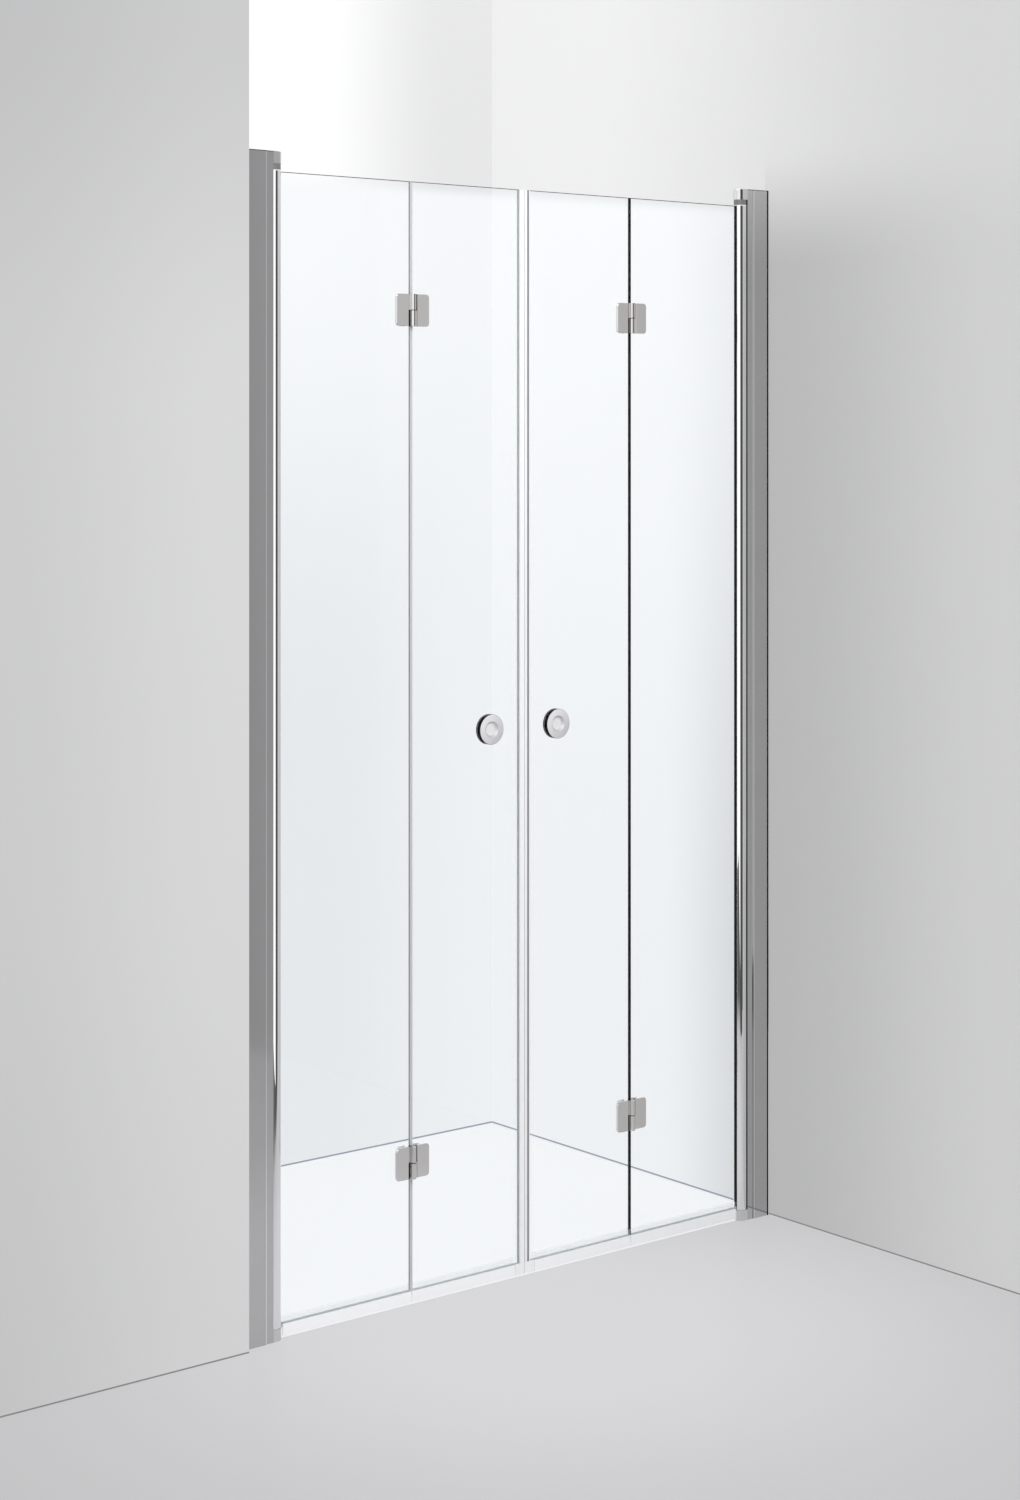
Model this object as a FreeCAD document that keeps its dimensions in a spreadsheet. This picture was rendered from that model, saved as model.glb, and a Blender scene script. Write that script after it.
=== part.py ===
import FreeCAD, Part
import os
from types import SimpleNamespace

import Sketcher

# A niche shower screen of two bifold glass doors.
# Each door hangs on a pivot column that turns in a jamb profile. The jamb slides in a channel that is
# screwed to the wall, which sets the width. The door's two panels fold on two glass hinges.
# Millimetres. The origin is at floor level in the middle of the doorway.
# +X is to the right seen from outside, +Y points into the shower, +Z is up.

SIZES = {
    # Whole screen
    "overall_width": 1190,
    "overall_height": 1950,
    "fold_from_axis": 281,
    "meeting_gap": 22,
    "fold_gap": 4,
    # Wall channels
    "channel_depth": 28,
    "channel_reach": 42,
    "channel_wall": 1.6,
    "channel_web": 2,
    "bead_width": 5,
    "bead_proud": 2,
    "bead_flat": 0.8,
    "wall_hole_radius": 3,
    "wall_hole_from_end": 150,
    "wall_hole_inner_spacing": 550,
    # Jamb profiles, which slide in the channels
    "axis_from_channel": 22,
    "slide_clearance": 0.3,
    "adjust_travel": 9,
    "jamb_stop_gap": 1,
    "jamb_wall": 1.6,
    "lip_from_axis": 8,
    "nest_clearance": 0.6,
    # Clamp screws that hold a jamb in its channel
    "clamp_from_end": 275,
    "clamp_radius": 2,
    "clamp_head_radius": 4,
    "clamp_head_height": 1.8,
    "clamp_nut_width": 8,
    "clamp_nut_height": 3,
    "clamp_nut_gap": 0.3,
    # End blocks, collars, pivot pins and bushes
    "block_height": 20,
    "block_clearance": 0.1,
    "block_edge": 1,
    "collar_height": 9.7,
    "collar_inset": 0.4,
    "pin_radius": 3,
    "pin_cover": 5,
    "pin_in_column": 22,
    "bearing_gap": 0.3,
    "bush_wall": 1.5,
    "bush_flange": 1.5,
    "bush_length": 24,
    "block_screw_radius": 2,
    "block_screw_gap": 2.2,
    "block_screw_tip_from_axis": 6,
    "block_screw_head_radius": 3.4,
    "block_screw_head_height": 2,
    # Pivot columns
    "column_diameter": 25,
    "column_wall": 2,
    "slot_floor": 1.2,
    "gasket_thickness": 0.8,
    "gasket_inset": 0.3,
    # Glass panels
    "glass_thickness": 6,
    "glass_over_column_foot": 2.2,
    "glass_under_column_head": 0.5,
    "glass_arris": 0.6,
    # Fold hinges
    "hinge_height": 55,
    "hinge_reach": 35,
    "back_reach": 24,
    "hinge_from_glass_end": 220,
    "leaf_thickness": 4,
    "leaf_corner": 6,
    "leaf_bevel": 0.8,
    "leaf_edge_gap": 3.8,
    "leaf_fold_gap": 1,
    "pad_thickness": 1,
    "pad_inset": 0.5,
    "knuckle_clearance": 1,
    "knuckle_gap": 0.3,
    "knuckle_web": 3,
    "ledge_thickness": 1.5,
    "ledge_gap": 0.5,
    "hinge_pin_radius": 2.5,
    "hinge_pin_head_radius": 3.6,
    "hinge_pin_head_height": 1.5,
    "hinge_play": 0.15,
    "leaf_screw_radius": 2,
    "leaf_screw_from_axis": 16.4,
    "leaf_screw_spacing": 28,
    "leaf_screw_cover": 1,
    "leaf_screw_head_radius": 4,
    "leaf_screw_head_height": 2.2,
    "leaf_screw_recess": 0.4,
    "glass_hole_radius": 5,
    # Finger pulls
    "pull_radius": 26.5,
    "pull_from_edge": 65,
    "pull_height": 970,
    "pull_flange": 2.6,
    "pull_edge": 0.6,
    "pull_tube_radius": 16,
    "pull_tube_wall": 2,
    "pull_tube_short": 0.4,
    "pull_washer": 0.4,
    "pull_washer_inset": 1,
    "pull_hole_clearance": 0.3,
    "dish_radius": 13.7,
    "dish_floor_radius": 11.2,
    "dish_depth": 4.8,
    "dish_floor": 1.6,
    "back_dish_radius": 13,
    "back_dish_floor_radius": 10.5,
    "back_dish_depth": 3,
    # Bottom sweeps
    "sweep_wall": 1.2,
    "sweep_clip": 11,
    "sweep_base": 2,
    "skirt_thickness": 1.8,
    "floor_gap": 4,
    "fin_reach": 5,
    "fin_drop": 8,
    "sweep_from_column": 3.5,
    "sweep_end_gap": 1,
    # Magnet seals and fold seals
    "magnet_clearance": 0.8,
    "magnet_wall": 1.2,
    "magnet_base": 1.5,
    "magnet_clip": 10,
    "magnet_corner": 1,
    "magnet_play": 0.2,
    "fold_seal_taper": 0.4,
    "fold_seal_lip": 0.6,
    # Fits
    "screw_clearance": 0.1,
    "running_clearance": 0.05,
    "seat_clearance": 0.02,
    "socket_radius": 1.2,
    "socket_depth": 1.2,
}

LEFT, RIGHT = -1, 1
SIDE_NAMES = {LEFT: "left", RIGHT: "right"}
X_AXIS = FreeCAD.Vector(1, 0, 0)
Y_AXIS = FreeCAD.Vector(0, 1, 0)
Z_AXIS = FreeCAD.Vector(0, 0, 1)
PARTS_FOLDER = "parts"
OVERCUT = 2
NEAR = 0.01


class Size:
    """A length: its number, and the expression over the sheet's cells that gives it."""

    def __init__(self, text, value):
        self.text = text
        self.value = value

    def __add__(self, other):
        other = as_size(other)
        return Size(f"({self.text} + {other.text})", self.value + other.value)

    def __radd__(self, other):
        return as_size(other) + self

    def __sub__(self, other):
        other = as_size(other)
        return Size(f"({self.text} - {other.text})", self.value - other.value)

    def __rsub__(self, other):
        return as_size(other) - self

    def __mul__(self, factor):
        return Size(f"({factor} * {self.text})", factor * self.value)

    __rmul__ = __mul__

    def __truediv__(self, divisor):
        return Size(f"({self.text} / {divisor})", self.value / divisor)

    def __neg__(self):
        return self * -1


def as_size(thing):
    """A size as it is, or a plain number as a size."""
    return thing if isinstance(thing, Size) else Size(str(thing), thing)


doc = FreeCAD.newDocument("shower_screen")
sheet = doc.addObject("Spreadsheet::Sheet", "Sizes")
for row, (size_name, size_value) in enumerate(SIZES.items(), start=1):
    sheet.set(f"A{row}", size_name)
    sheet.set(f"B{row}", str(size_value))
    sheet.setAlias(f"B{row}", size_name)
doc.recompute()
size = SimpleNamespace(**{name: Size(f"Sizes.{name}", value) for name, value in SIZES.items()})

# Distances out from the middle of the doorway
WALL = size.overall_width / 2
PIVOT = WALL - size.channel_reach - size.axis_from_channel
FOLD = PIVOT - size.fold_from_axis
EDGE = size.meeting_gap / 2

# Distances out from the glass's middle plane
GLASS_FACE = size.glass_thickness / 2
CHANNEL_FACE = size.channel_depth / 2
CHANNEL_INSIDE = CHANNEL_FACE - size.channel_wall
JAMB_FACE = CHANNEL_INSIDE - size.slide_clearance
JAMB_INSIDE = JAMB_FACE - size.jamb_wall
LEAF_BACK = GLASS_FACE + size.pad_thickness
LEAF_FACE = LEAF_BACK + size.leaf_thickness
HINGE_AXIS = LEAF_FACE + size.leaf_fold_gap
PULL_BACK = GLASS_FACE + size.pull_washer
PULL_FACE = PULL_BACK + size.pull_flange
PULL_TUBE_END = GLASS_FACE - size.pull_tube_short
PULL_FLOOR_BACK = PULL_FACE - size.dish_depth - size.dish_floor

# Radii round the pivot axis
COLUMN_RADIUS = size.column_diameter / 2
NEST_RADIUS = COLUMN_RADIUS + size.nest_clearance
NEST_WALL_RADIUS = NEST_RADIUS + size.jamb_wall
BUSH_RADIUS = size.pin_radius + size.bush_wall
SLOT_BOTTOM = BUSH_RADIUS + size.slot_floor
SLOT_HALF = GLASS_FACE + size.gasket_thickness
GLASS_FROM_AXIS = SLOT_BOTTOM + size.gasket_thickness
CLAMP_FROM_AXIS = NEST_WALL_RADIUS + size.adjust_travel + size.clamp_nut_gap + size.clamp_nut_width / 2
KNUCKLE_RADIUS = HINGE_AXIS - GLASS_FACE - size.knuckle_clearance

# Heights over the floor
TOP = size.overall_height
MIDDLE = TOP / 2
HEAD_BOTTOM = TOP - size.block_height
COLLAR_BOTTOM = HEAD_BOTTOM - size.collar_height
COLUMN_BOTTOM = size.block_height + size.bearing_gap + size.bush_flange
COLUMN_TOP = COLLAR_BOTTOM - size.bearing_gap - size.bush_flange
COLUMN_LENGTH = COLUMN_TOP - COLUMN_BOTTOM
GLASS_BOTTOM = COLUMN_BOTTOM + size.glass_over_column_foot
GLASS_TOP = COLUMN_TOP - size.glass_under_column_head
HINGE_HEIGHTS = [GLASS_BOTTOM + size.hinge_from_glass_end, GLASS_TOP - size.hinge_from_glass_end]
CLAMP_HEIGHTS = [size.clamp_from_end, MIDDLE, TOP - size.clamp_from_end]
WALL_HOLE_HEIGHTS = [
    size.wall_hole_from_end,
    MIDDLE - size.wall_hole_inner_spacing / 2,
    MIDDLE + size.wall_hole_inner_spacing / 2,
    TOP - size.wall_hole_from_end,
]
BLOCK_SCREW_OFFSET = size.block_screw_head_radius + size.block_screw_gap / 2
FOOT_SCREW_HEIGHTS = [size.block_height / 2 + way * BLOCK_SCREW_OFFSET for way in (-1, 1)]
HEAD_SCREW_HEIGHTS = [HEAD_BOTTOM + height for height in FOOT_SCREW_HEIGHTS]


# Outlines and places

def span(side, near, far):
    """The low and high X between two distances from the middle, on one side."""
    return (side * near, side * far) if side == RIGHT else (side * far, side * near)


def both_ways(half):
    """The low and high value of a width that lies evenly about zero."""
    return -half, half


def around(middle, half):
    """The low and high value of a width about its middle."""
    return middle - half, middle + half


def mirrored(half):
    """A whole outline from its half at positive Y: the same points back at negative Y."""
    return half + [(x, -y) for x, y in reversed(half)]


def at(x, y, z):
    """A base point."""
    return {"x": as_size(x), "y": as_size(y), "z": as_size(z)}


def set_place(thing, place):
    """Binds the coordinates of the thing's base point."""
    for letter, distance in place.items():
        thing.setExpression(f"Placement.Base.{letter}", distance.text)


# Shapes

def sketch_on(body, role, loops):
    """A fully bound sketch of closed straight outlines, on one of the body's own planes."""
    sketch = body.newObject("Sketcher::SketchObject", "Outline")
    plane = [feature for feature in body.Origin.OriginFeatures if feature.Role == role][0]
    sketch.AttachmentSupport = [(plane, "")]
    sketch.MapMode = "FlatFace"
    for loop in loops:
        first = sketch.GeometryCount
        corners = [(as_size(x), as_size(y)) for x, y in loop]
        points = [FreeCAD.Vector(x.value, y.value, 0) for x, y in corners]
        for start, end in zip(points, points[1:] + points[:1]):
            sketch.addGeometry(Part.LineSegment(start, end))
        for index in range(len(corners)):
            following = first + (index + 1) % len(corners)
            sketch.addConstraint(Sketcher.Constraint("Coincident", first + index, 2, following, 1))
        for index, corner in enumerate(corners, start=first):
            for kind, distance in zip(("DistanceX", "DistanceY"), corner):
                rule = Sketcher.Constraint(kind, -1, 1, index, 1, distance.value)
                sketch.setExpression(f"Constraints[{sketch.addConstraint(rule)}]", distance.text)
    return sketch


def extruded(label, role, loops, length, place):
    """A profile drawn on a plane and padded along the plane's normal."""
    body = doc.addObject("PartDesign::Body", label)
    pad = body.newObject("PartDesign::Pad", "Pad")
    pad.Profile = sketch_on(body, role, loops)
    body.Tip = pad
    pad.setExpression("Length", length.text)
    set_place(body, place)
    doc.recompute()
    return body


def revolved(label, outline, direction, place):
    """A turned piece: its outline is radius against distance along the direction."""
    body = doc.addObject("PartDesign::Body", label)
    turn = body.newObject("PartDesign::Revolution", "Revolution")
    sketch = sketch_on(body, "XZ_Plane", [outline])
    turn.Profile = sketch
    turn.ReferenceAxis = (sketch, ["V_Axis"])
    turn.Angle = 360
    body.Tip = turn
    body.Placement = FreeCAD.Placement(FreeCAD.Vector(), FreeCAD.Rotation(Z_AXIS, direction))
    set_place(body, place)
    doc.recompute()
    return body


def dressed(body, feature, chosen, property_name, amount):
    """Rounds or bevels the edges of the body's last feature that the test chooses."""
    base = body.Tip
    edges = [f"Edge{index}" for index, edge in enumerate(base.Shape.Edges, start=1) if chosen(edge)]
    dress = body.newObject(f"PartDesign::{feature}", feature)
    dress.Base = (base, edges)
    dress.setExpression(property_name, amount.text)
    body.Tip = dress
    doc.recompute()
    return body


def runs_along(edge, direction):
    """Whether an edge starts out along the direction."""
    return abs(edge.tangentAt(edge.FirstParameter).dot(direction)) > 1 - NEAR


def block(label, x, y, z):
    """A box between low and high bounds."""
    box = doc.addObject("Part::Box", label)
    for side_name, (low, high) in zip(("Length", "Width", "Height"), (x, y, z)):
        box.setExpression(side_name, (high - low).text)
    set_place(box, at(x[0], y[0], z[0]))
    return box


def rod(label, direction, radius, length, place):
    """A cylinder from its base point along the direction."""
    cylinder = doc.addObject("Part::Cylinder", label)
    cylinder.Placement = FreeCAD.Placement(FreeCAD.Vector(), FreeCAD.Rotation(Z_AXIS, direction))
    cylinder.setExpression("Radius", radius.text)
    cylinder.setExpression("Height", length.text)
    set_place(cylinder, place)
    return cylinder


def joined(label, shapes):
    """One solid from overlapping shapes."""
    fuse = doc.addObject("Part::MultiFuse", label)
    fuse.Shapes = shapes
    fuse.Refine = True
    return fuse


def shared(label, base, tool):
    """What two shapes have in common."""
    common = doc.addObject("Part::Common", label)
    common.Base = base
    common.Tool = tool
    return common


def without(label, base, tools):
    """The base with every tool cut away."""
    cut = doc.addObject("Part::Cut", label)
    cut.Base = base
    cut.Tool = tools[0] if len(tools) == 1 else joined(f"{label}_cuts", tools)
    return cut


def group(label, solids):
    """Alike solids that share one node."""
    compound = doc.addObject("Part::Compound", label)
    compound.Links = solids
    return compound


def screw_outline(tip, radius, seat, head_radius, head_height):
    """A screw's outline: a shaft from its tip to the seat, and a head with a socket."""
    head_top = seat + head_height
    return [
        (0, tip),
        (radius, tip),
        (radius, seat),
        (head_radius, seat),
        (head_radius, head_top),
        (size.socket_radius, head_top),
        (size.socket_radius, head_top - size.socket_depth),
        (0, head_top - size.socket_depth),
    ]


# Wall channels and clamp screws

def wall_channel(side):
    """A U channel, open towards the doorway, with a rounded bead along the wall on both faces."""
    name = f"{SIDE_NAMES[side]}_wall_channel"
    bead_face = CHANNEL_FACE + size.bead_proud
    half = [
        (WALL, bead_face),
        (WALL - size.bead_width, bead_face),
        (WALL - size.bead_width, CHANNEL_FACE),
        (WALL - size.channel_reach, CHANNEL_FACE),
        (WALL - size.channel_reach, CHANNEL_INSIDE),
        (WALL - size.channel_web, CHANNEL_INSIDE),
    ]
    outline = [(side * out, y) for out, y in mirrored(half)]
    body = extruded(f"{name}_profile", "XY_Plane", [outline], TOP, {})

    def is_bead_corner(edge):
        x, y, _ = edge.CenterOfMass
        off_bead = abs(abs(x) - (WALL - size.bead_width).value) + abs(abs(y) - bead_face.value)
        return runs_along(edge, Z_AXIS) and off_bead < NEAR

    dressed(body, "Fillet", is_bead_corner, "Radius", size.bead_proud - size.bead_flat)
    hole_x = span(side, WALL - size.channel_web - OVERCUT, WALL + OVERCUT)[0]
    holes = [
        rod(f"{name}_wall_hole", X_AXIS, size.wall_hole_radius, size.channel_web + 2 * OVERCUT, at(hole_x, 0, z))
        for z in WALL_HOLE_HEIGHTS
    ]
    holes += [
        rod(f"{name}_clamp_hole", Y_AXIS, size.clamp_radius + size.screw_clearance,
            size.channel_wall + 2 * OVERCUT, at(clamp_x(side), CHANNEL_INSIDE - OVERCUT, z))
        for z in CLAMP_HEIGHTS
    ]
    return without(name, body, holes)


def clamp_x(side):
    """The X of the clamp screws: their nuts stay clear of the nest over the whole travel."""
    return side * (PIVOT + CLAMP_FROM_AXIS)


def clamp_nut(side, height, low, high):
    """A square nut on a clamp screw."""
    half = size.clamp_nut_width / 2
    blank = block("clamp_nut_blank", around(clamp_x(side), half), (low, high), around(height, half))
    thread = rod("clamp_nut_thread", Y_AXIS, size.clamp_radius + size.seat_clearance,
                 size.clamp_nut_height + 2 * OVERCUT, at(clamp_x(side), low - OVERCUT, height))
    return without("clamp_nut", blank, [thread])


def clamp_screws():
    """Screws through the channels' inner faces, with their nuts inside the jambs."""
    nut_top = JAMB_INSIDE - size.slide_clearance
    nut_bottom = nut_top - size.clamp_nut_height
    outline = screw_outline(nut_bottom, size.clamp_radius, CHANNEL_FACE, size.clamp_head_radius,
                            size.clamp_head_height)
    solids = []
    for side in (LEFT, RIGHT):
        for height in CLAMP_HEIGHTS:
            solids.append(revolved("clamp_screw", outline, Y_AXIS, at(clamp_x(side), 0, height)))
            solids.append(clamp_nut(side, height, nut_bottom, nut_top))
    return group("clamp_screws", solids)


# Jamb profiles with their end blocks, pins and collars

def jamb_slot(label, side, height):
    """A slot along the travel, through the jamb's inner face."""
    radius = size.clamp_radius + size.screw_clearance
    start = PIVOT + CLAMP_FROM_AXIS
    end = start - size.adjust_travel
    low = JAMB_INSIDE - OVERCUT
    length = size.jamb_wall + 2 * OVERCUT
    ends = [rod(f"{label}_end", Y_AXIS, radius, length, at(side * out, low, height)) for out in (start, end)]
    middle = block(f"{label}_middle", span(side, end, start), (low, low + length), around(height, radius))
    return joined(label, [middle] + ends)


def block_screw_hole(label, side, height, clearance):
    """A hole from inside the jamb towards the pivot axis."""
    near = PIVOT + size.block_screw_tip_from_axis
    far = PIVOT + NEST_WALL_RADIUS + OVERCUT
    return rod(label, X_AXIS, size.block_screw_radius + clearance, far - near,
               at(span(side, near, far)[0], 0, height))


def jamb_profile(side):
    """A sliding profile, hollow and open to the wall, with a round nest for the column between two lips."""
    name = f"{SIDE_NAMES[side]}_jamb_profile"
    lip = PIVOT + size.lip_from_axis
    back = WALL - size.channel_web - size.adjust_travel - size.jamb_stop_gap
    cut_height = (as_size(-OVERCUT), TOP + OVERCUT)
    axis = at(side * PIVOT, 0, -OVERCUT)
    nest = rod(f"{name}_nest", Z_AXIS, NEST_RADIUS, TOP + 2 * OVERCUT, axis)
    nest_wall = rod(f"{name}_nest_wall", Z_AXIS, NEST_WALL_RADIUS, TOP + 2 * OVERCUT, axis)
    inside = block(f"{name}_inside", span(side, lip, back + OVERCUT), both_ways(JAMB_INSIDE), cut_height)
    cuts = [nest, without(f"{name}_hollow", inside, [nest_wall])]
    cuts += [jamb_slot(f"{name}_slot", side, height) for height in CLAMP_HEIGHTS]
    cuts += [block_screw_hole(f"{name}_screw_hole", side, height, size.screw_clearance)
             for height in FOOT_SCREW_HEIGHTS + HEAD_SCREW_HEIGHTS]
    outside = block(f"{name}_blank", span(side, lip, back), both_ways(JAMB_FACE), (as_size(0), TOP))
    return without(name, outside, cuts)


def block_screws(side):
    """Screws from inside the jamb into its two end blocks."""
    outline = screw_outline(size.block_screw_tip_from_axis, size.block_screw_radius,
                            NEST_WALL_RADIUS + size.screw_clearance, size.block_screw_head_radius,
                            size.block_screw_head_height)
    screws = [revolved("block_screw", outline, X_AXIS * side, at(side * PIVOT, 0, height))
              for height in FOOT_SCREW_HEIGHTS + HEAD_SCREW_HEIGHTS]
    return group(f"{SIDE_NAMES[side]}_block_screws", screws)


def end_block(name, side, outward, low, pin_low, screw_heights):
    """A round nosed block that fills the nest at one end of the jamb and holds a pivot pin."""
    height = (low, low + size.block_height)
    radius = NEST_RADIUS - size.block_clearance
    outline = [
        (0, 0),
        (radius, 0),
        (radius, size.block_height - size.block_edge),
        (radius - size.block_edge, size.block_height),
        (0, size.block_height),
    ]
    inner_end = height[0] if outward == Z_AXIS else height[1]
    nose = revolved(f"{name}_nose", outline, outward, at(side * PIVOT, 0, inner_end))
    flats = block(f"{name}_flats", around(side * PIVOT, NEST_RADIUS), both_ways(JAMB_FACE), height)
    filler = block(f"{name}_filler", span(side, PIVOT, PIVOT + size.lip_from_axis - size.block_clearance),
                   both_ways(JAMB_FACE), height)
    solid = joined(f"{name}_solid", [shared(f"{name}_core", nose, flats), filler])
    cuts = [rod(f"{name}_pin_bore", Z_AXIS, size.pin_radius + size.seat_clearance,
                size.block_height - size.pin_cover + OVERCUT, at(side * PIVOT, 0, pin_low))]
    cuts += [block_screw_hole(f"{name}_screw_hole", side, z, size.seat_clearance) for z in screw_heights]
    return without(name, solid, cuts)


def head_block(side):
    """The block at the top of the jamb."""
    return end_block(f"{SIDE_NAMES[side]}_head_block", side, Z_AXIS, HEAD_BOTTOM, HEAD_BOTTOM - OVERCUT,
                     HEAD_SCREW_HEIGHTS)


def foot_block(side):
    """The block at the bottom of the jamb."""
    return end_block(f"{SIDE_NAMES[side]}_foot_block", side, -Z_AXIS, as_size(0), size.pin_cover,
                     FOOT_SCREW_HEIGHTS)


def pivot_pins(side):
    """Steel pins that reach from the end blocks into the column's bushes."""
    spans = {
        "lower_pivot_pin": (size.pin_cover, COLUMN_BOTTOM + size.pin_in_column),
        "upper_pivot_pin": (COLUMN_TOP - size.pin_in_column, TOP - size.pin_cover),
    }
    pins = [rod(label, Z_AXIS, size.pin_radius, high - low, at(side * PIVOT, 0, low))
            for label, (low, high) in spans.items()]
    return group(f"{SIDE_NAMES[side]}_pivot_pins", pins)


def collar(side):
    """The spacer ring that shows between the head block and the column."""
    bore = size.pin_radius + size.running_clearance
    outside = COLUMN_RADIUS - size.collar_inset
    outline = [(bore, 0), (outside, 0), (outside, size.collar_height), (bore, size.collar_height)]
    return revolved(f"{SIDE_NAMES[side]}_collar", outline, Z_AXIS, at(side * PIVOT, 0, COLLAR_BOTTOM))


# Pivot columns

def column(side):
    """A round extrusion with a bush bore on its axis, a glass slot towards the doorway and a back rib."""
    name = f"{SIDE_NAMES[side]}_column"
    cut_height = (COLUMN_BOTTOM - OVERCUT, COLUMN_TOP + OVERCUT)
    cut_length = cut_height[1] - cut_height[0]
    cut_axis = at(side * PIVOT, 0, cut_height[0])
    front = PIVOT - COLUMN_RADIUS - OVERCUT
    back = PIVOT + COLUMN_RADIUS + OVERCUT
    ribs = joined(f"{name}_ribs", [
        rod(f"{name}_boss", Z_AXIS, BUSH_RADIUS + size.column_wall, cut_length, cut_axis),
        block(f"{name}_slot_walls", span(side, front, PIVOT), both_ways(SLOT_HALF + size.column_wall), cut_height),
        block(f"{name}_back_rib", span(side, PIVOT, back), both_ways(size.column_wall / 2), cut_height),
    ])
    inside = rod(f"{name}_inside", Z_AXIS, COLUMN_RADIUS - size.column_wall, cut_length, cut_axis)
    cuts = [
        without(f"{name}_hollow", inside, [ribs]),
        rod(f"{name}_bore", Z_AXIS, BUSH_RADIUS, cut_length, cut_axis),
        block(f"{name}_slot", span(side, front, PIVOT - SLOT_BOTTOM), both_ways(SLOT_HALF), cut_height),
    ]
    blank = rod(f"{name}_blank", Z_AXIS, COLUMN_RADIUS, COLUMN_LENGTH, at(side * PIVOT, 0, COLUMN_BOTTOM))
    return without(name, blank, cuts)


def column_bushes(side):
    """Flanged bushes that close the column's ends and turn on the pivot pins."""
    bore = size.pin_radius + size.running_clearance
    spigot = BUSH_RADIUS - size.seat_clearance
    flange = COLUMN_RADIUS - size.collar_inset
    outline = [
        (bore, -size.bush_length),
        (spigot, -size.bush_length),
        (spigot, 0),
        (flange, 0),
        (flange, size.bush_flange),
        (bore, size.bush_flange),
    ]
    bushes = [revolved("column_bush", outline, direction, at(side * PIVOT, 0, height))
              for direction, height in ((-Z_AXIS, COLUMN_BOTTOM), (Z_AXIS, COLUMN_TOP))]
    return group(f"{SIDE_NAMES[side]}_column_bushes", bushes)


def column_gasket(side):
    """A U shaped rubber gasket that seats the glass in the column's slot, over the sweep's clip."""
    mouth = PIVOT - COLUMN_RADIUS + size.gasket_inset
    half = [
        (PIVOT - SLOT_BOTTOM, SLOT_HALF),
        (mouth, SLOT_HALF),
        (mouth, GLASS_FACE),
        (PIVOT - GLASS_FROM_AXIS, GLASS_FACE),
    ]
    outline = [(side * out, y) for out, y in mirrored(half)]
    bottom = GLASS_BOTTOM + size.sweep_clip
    return extruded(f"{SIDE_NAMES[side]}_column_gasket", "XY_Plane", [outline], COLUMN_TOP - bottom,
                    at(0, 0, bottom))


# Glass panels

def panel(label, side, near, far, holes):
    """A toughened panel with ground arrises and drilled holes."""
    low, high = span(side, near, far)
    outline = [(low, GLASS_BOTTOM), (high, GLASS_BOTTOM), (high, GLASS_TOP), (low, GLASS_TOP)]
    body = extruded(f"{label}_sheet", "XZ_Plane", [outline], size.glass_thickness, at(0, GLASS_FACE, 0))
    dressed(body, "Chamfer", lambda edge: not runs_along(edge, Y_AXIS), "Size", size.glass_arris)
    return without(label, body, holes)


def drilled(label, x, z, radius):
    """A hole through the glass."""
    return rod(label, Y_AXIS, radius, size.glass_thickness + 2 * OVERCUT, at(x, -GLASS_FACE - OVERCUT, z))


def hinge_holes(side, hand):
    """The holes for one panel's hinge screws."""
    return [drilled("hinge_hole", x, z, size.glass_hole_radius)
            for height in HINGE_HEIGHTS for x, z in leaf_screw_places(side, hand, height)]


def outer_glass(side):
    """The panel between the column and the fold."""
    return panel(f"{SIDE_NAMES[side]}_outer_glass", side, FOLD + size.fold_gap / 2, PIVOT - GLASS_FROM_AXIS,
                 hinge_holes(side, side))


def inner_glass(side):
    """The panel between the fold and the middle of the doorway, with the finger pull."""
    pull_hole = drilled("pull_hole", pull_place(side)["x"], size.pull_height,
                        size.pull_tube_radius + size.pull_hole_clearance)
    return panel(f"{SIDE_NAMES[side]}_inner_glass", side, EDGE, FOLD - size.fold_gap / 2,
                 hinge_holes(side, -side) + [pull_hole])


# Fold hinges: the leaf at the left of the fold always has the upper knuckle

def from_fold(side, hand, distance):
    """The X of a point beside the fold, on one hand of it."""
    return side * FOLD + hand * distance


def leaf_screw_places(side, hand, height):
    """X and Z of a hinge leaf's two screws."""
    x = from_fold(side, hand, size.leaf_screw_from_axis)
    return [(x, height + way * size.leaf_screw_spacing / 2) for way in (-1, 1)]


def leaf_bores(side, hand, height, radius, low, high):
    """Round pieces along Y at a leaf's screws."""
    return [rod("leaf_bore", Y_AXIS, radius, high - low, at(x, low, z))
            for x, z in leaf_screw_places(side, hand, height)]


def leaf_plate(label, side, hand, height, reach, inset, thickness, top):
    """A plate out to a reach from the fold, with two rounded corners and its +Y face at the given top."""
    near = from_fold(side, hand, KNUCKLE_RADIUS + size.leaf_edge_gap + inset)
    far = from_fold(side, hand, reach - inset)
    low, high = around(height, size.hinge_height / 2 - inset)
    body = extruded(label, "XZ_Plane", [[(near, low), (far, low), (far, high), (near, high)]], thickness,
                    at(0, top, 0))

    def is_outer_corner(edge):
        return runs_along(edge, Y_AXIS) and abs(edge.CenterOfMass.x - far.value) < NEAR

    return dressed(body, "Fillet", is_outer_corner, "Radius", size.leaf_corner - inset)


def bevelled(plate, outward):
    """A plate with bevels round its -Y or +Y face."""
    box = plate.Tip.Shape.BoundBox
    face = box.YMin if outward < 0 else box.YMax
    return dressed(plate, "Chamfer", lambda edge: abs(edge.CenterOfMass.y - face) < NEAR, "Size", size.leaf_bevel)


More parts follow.
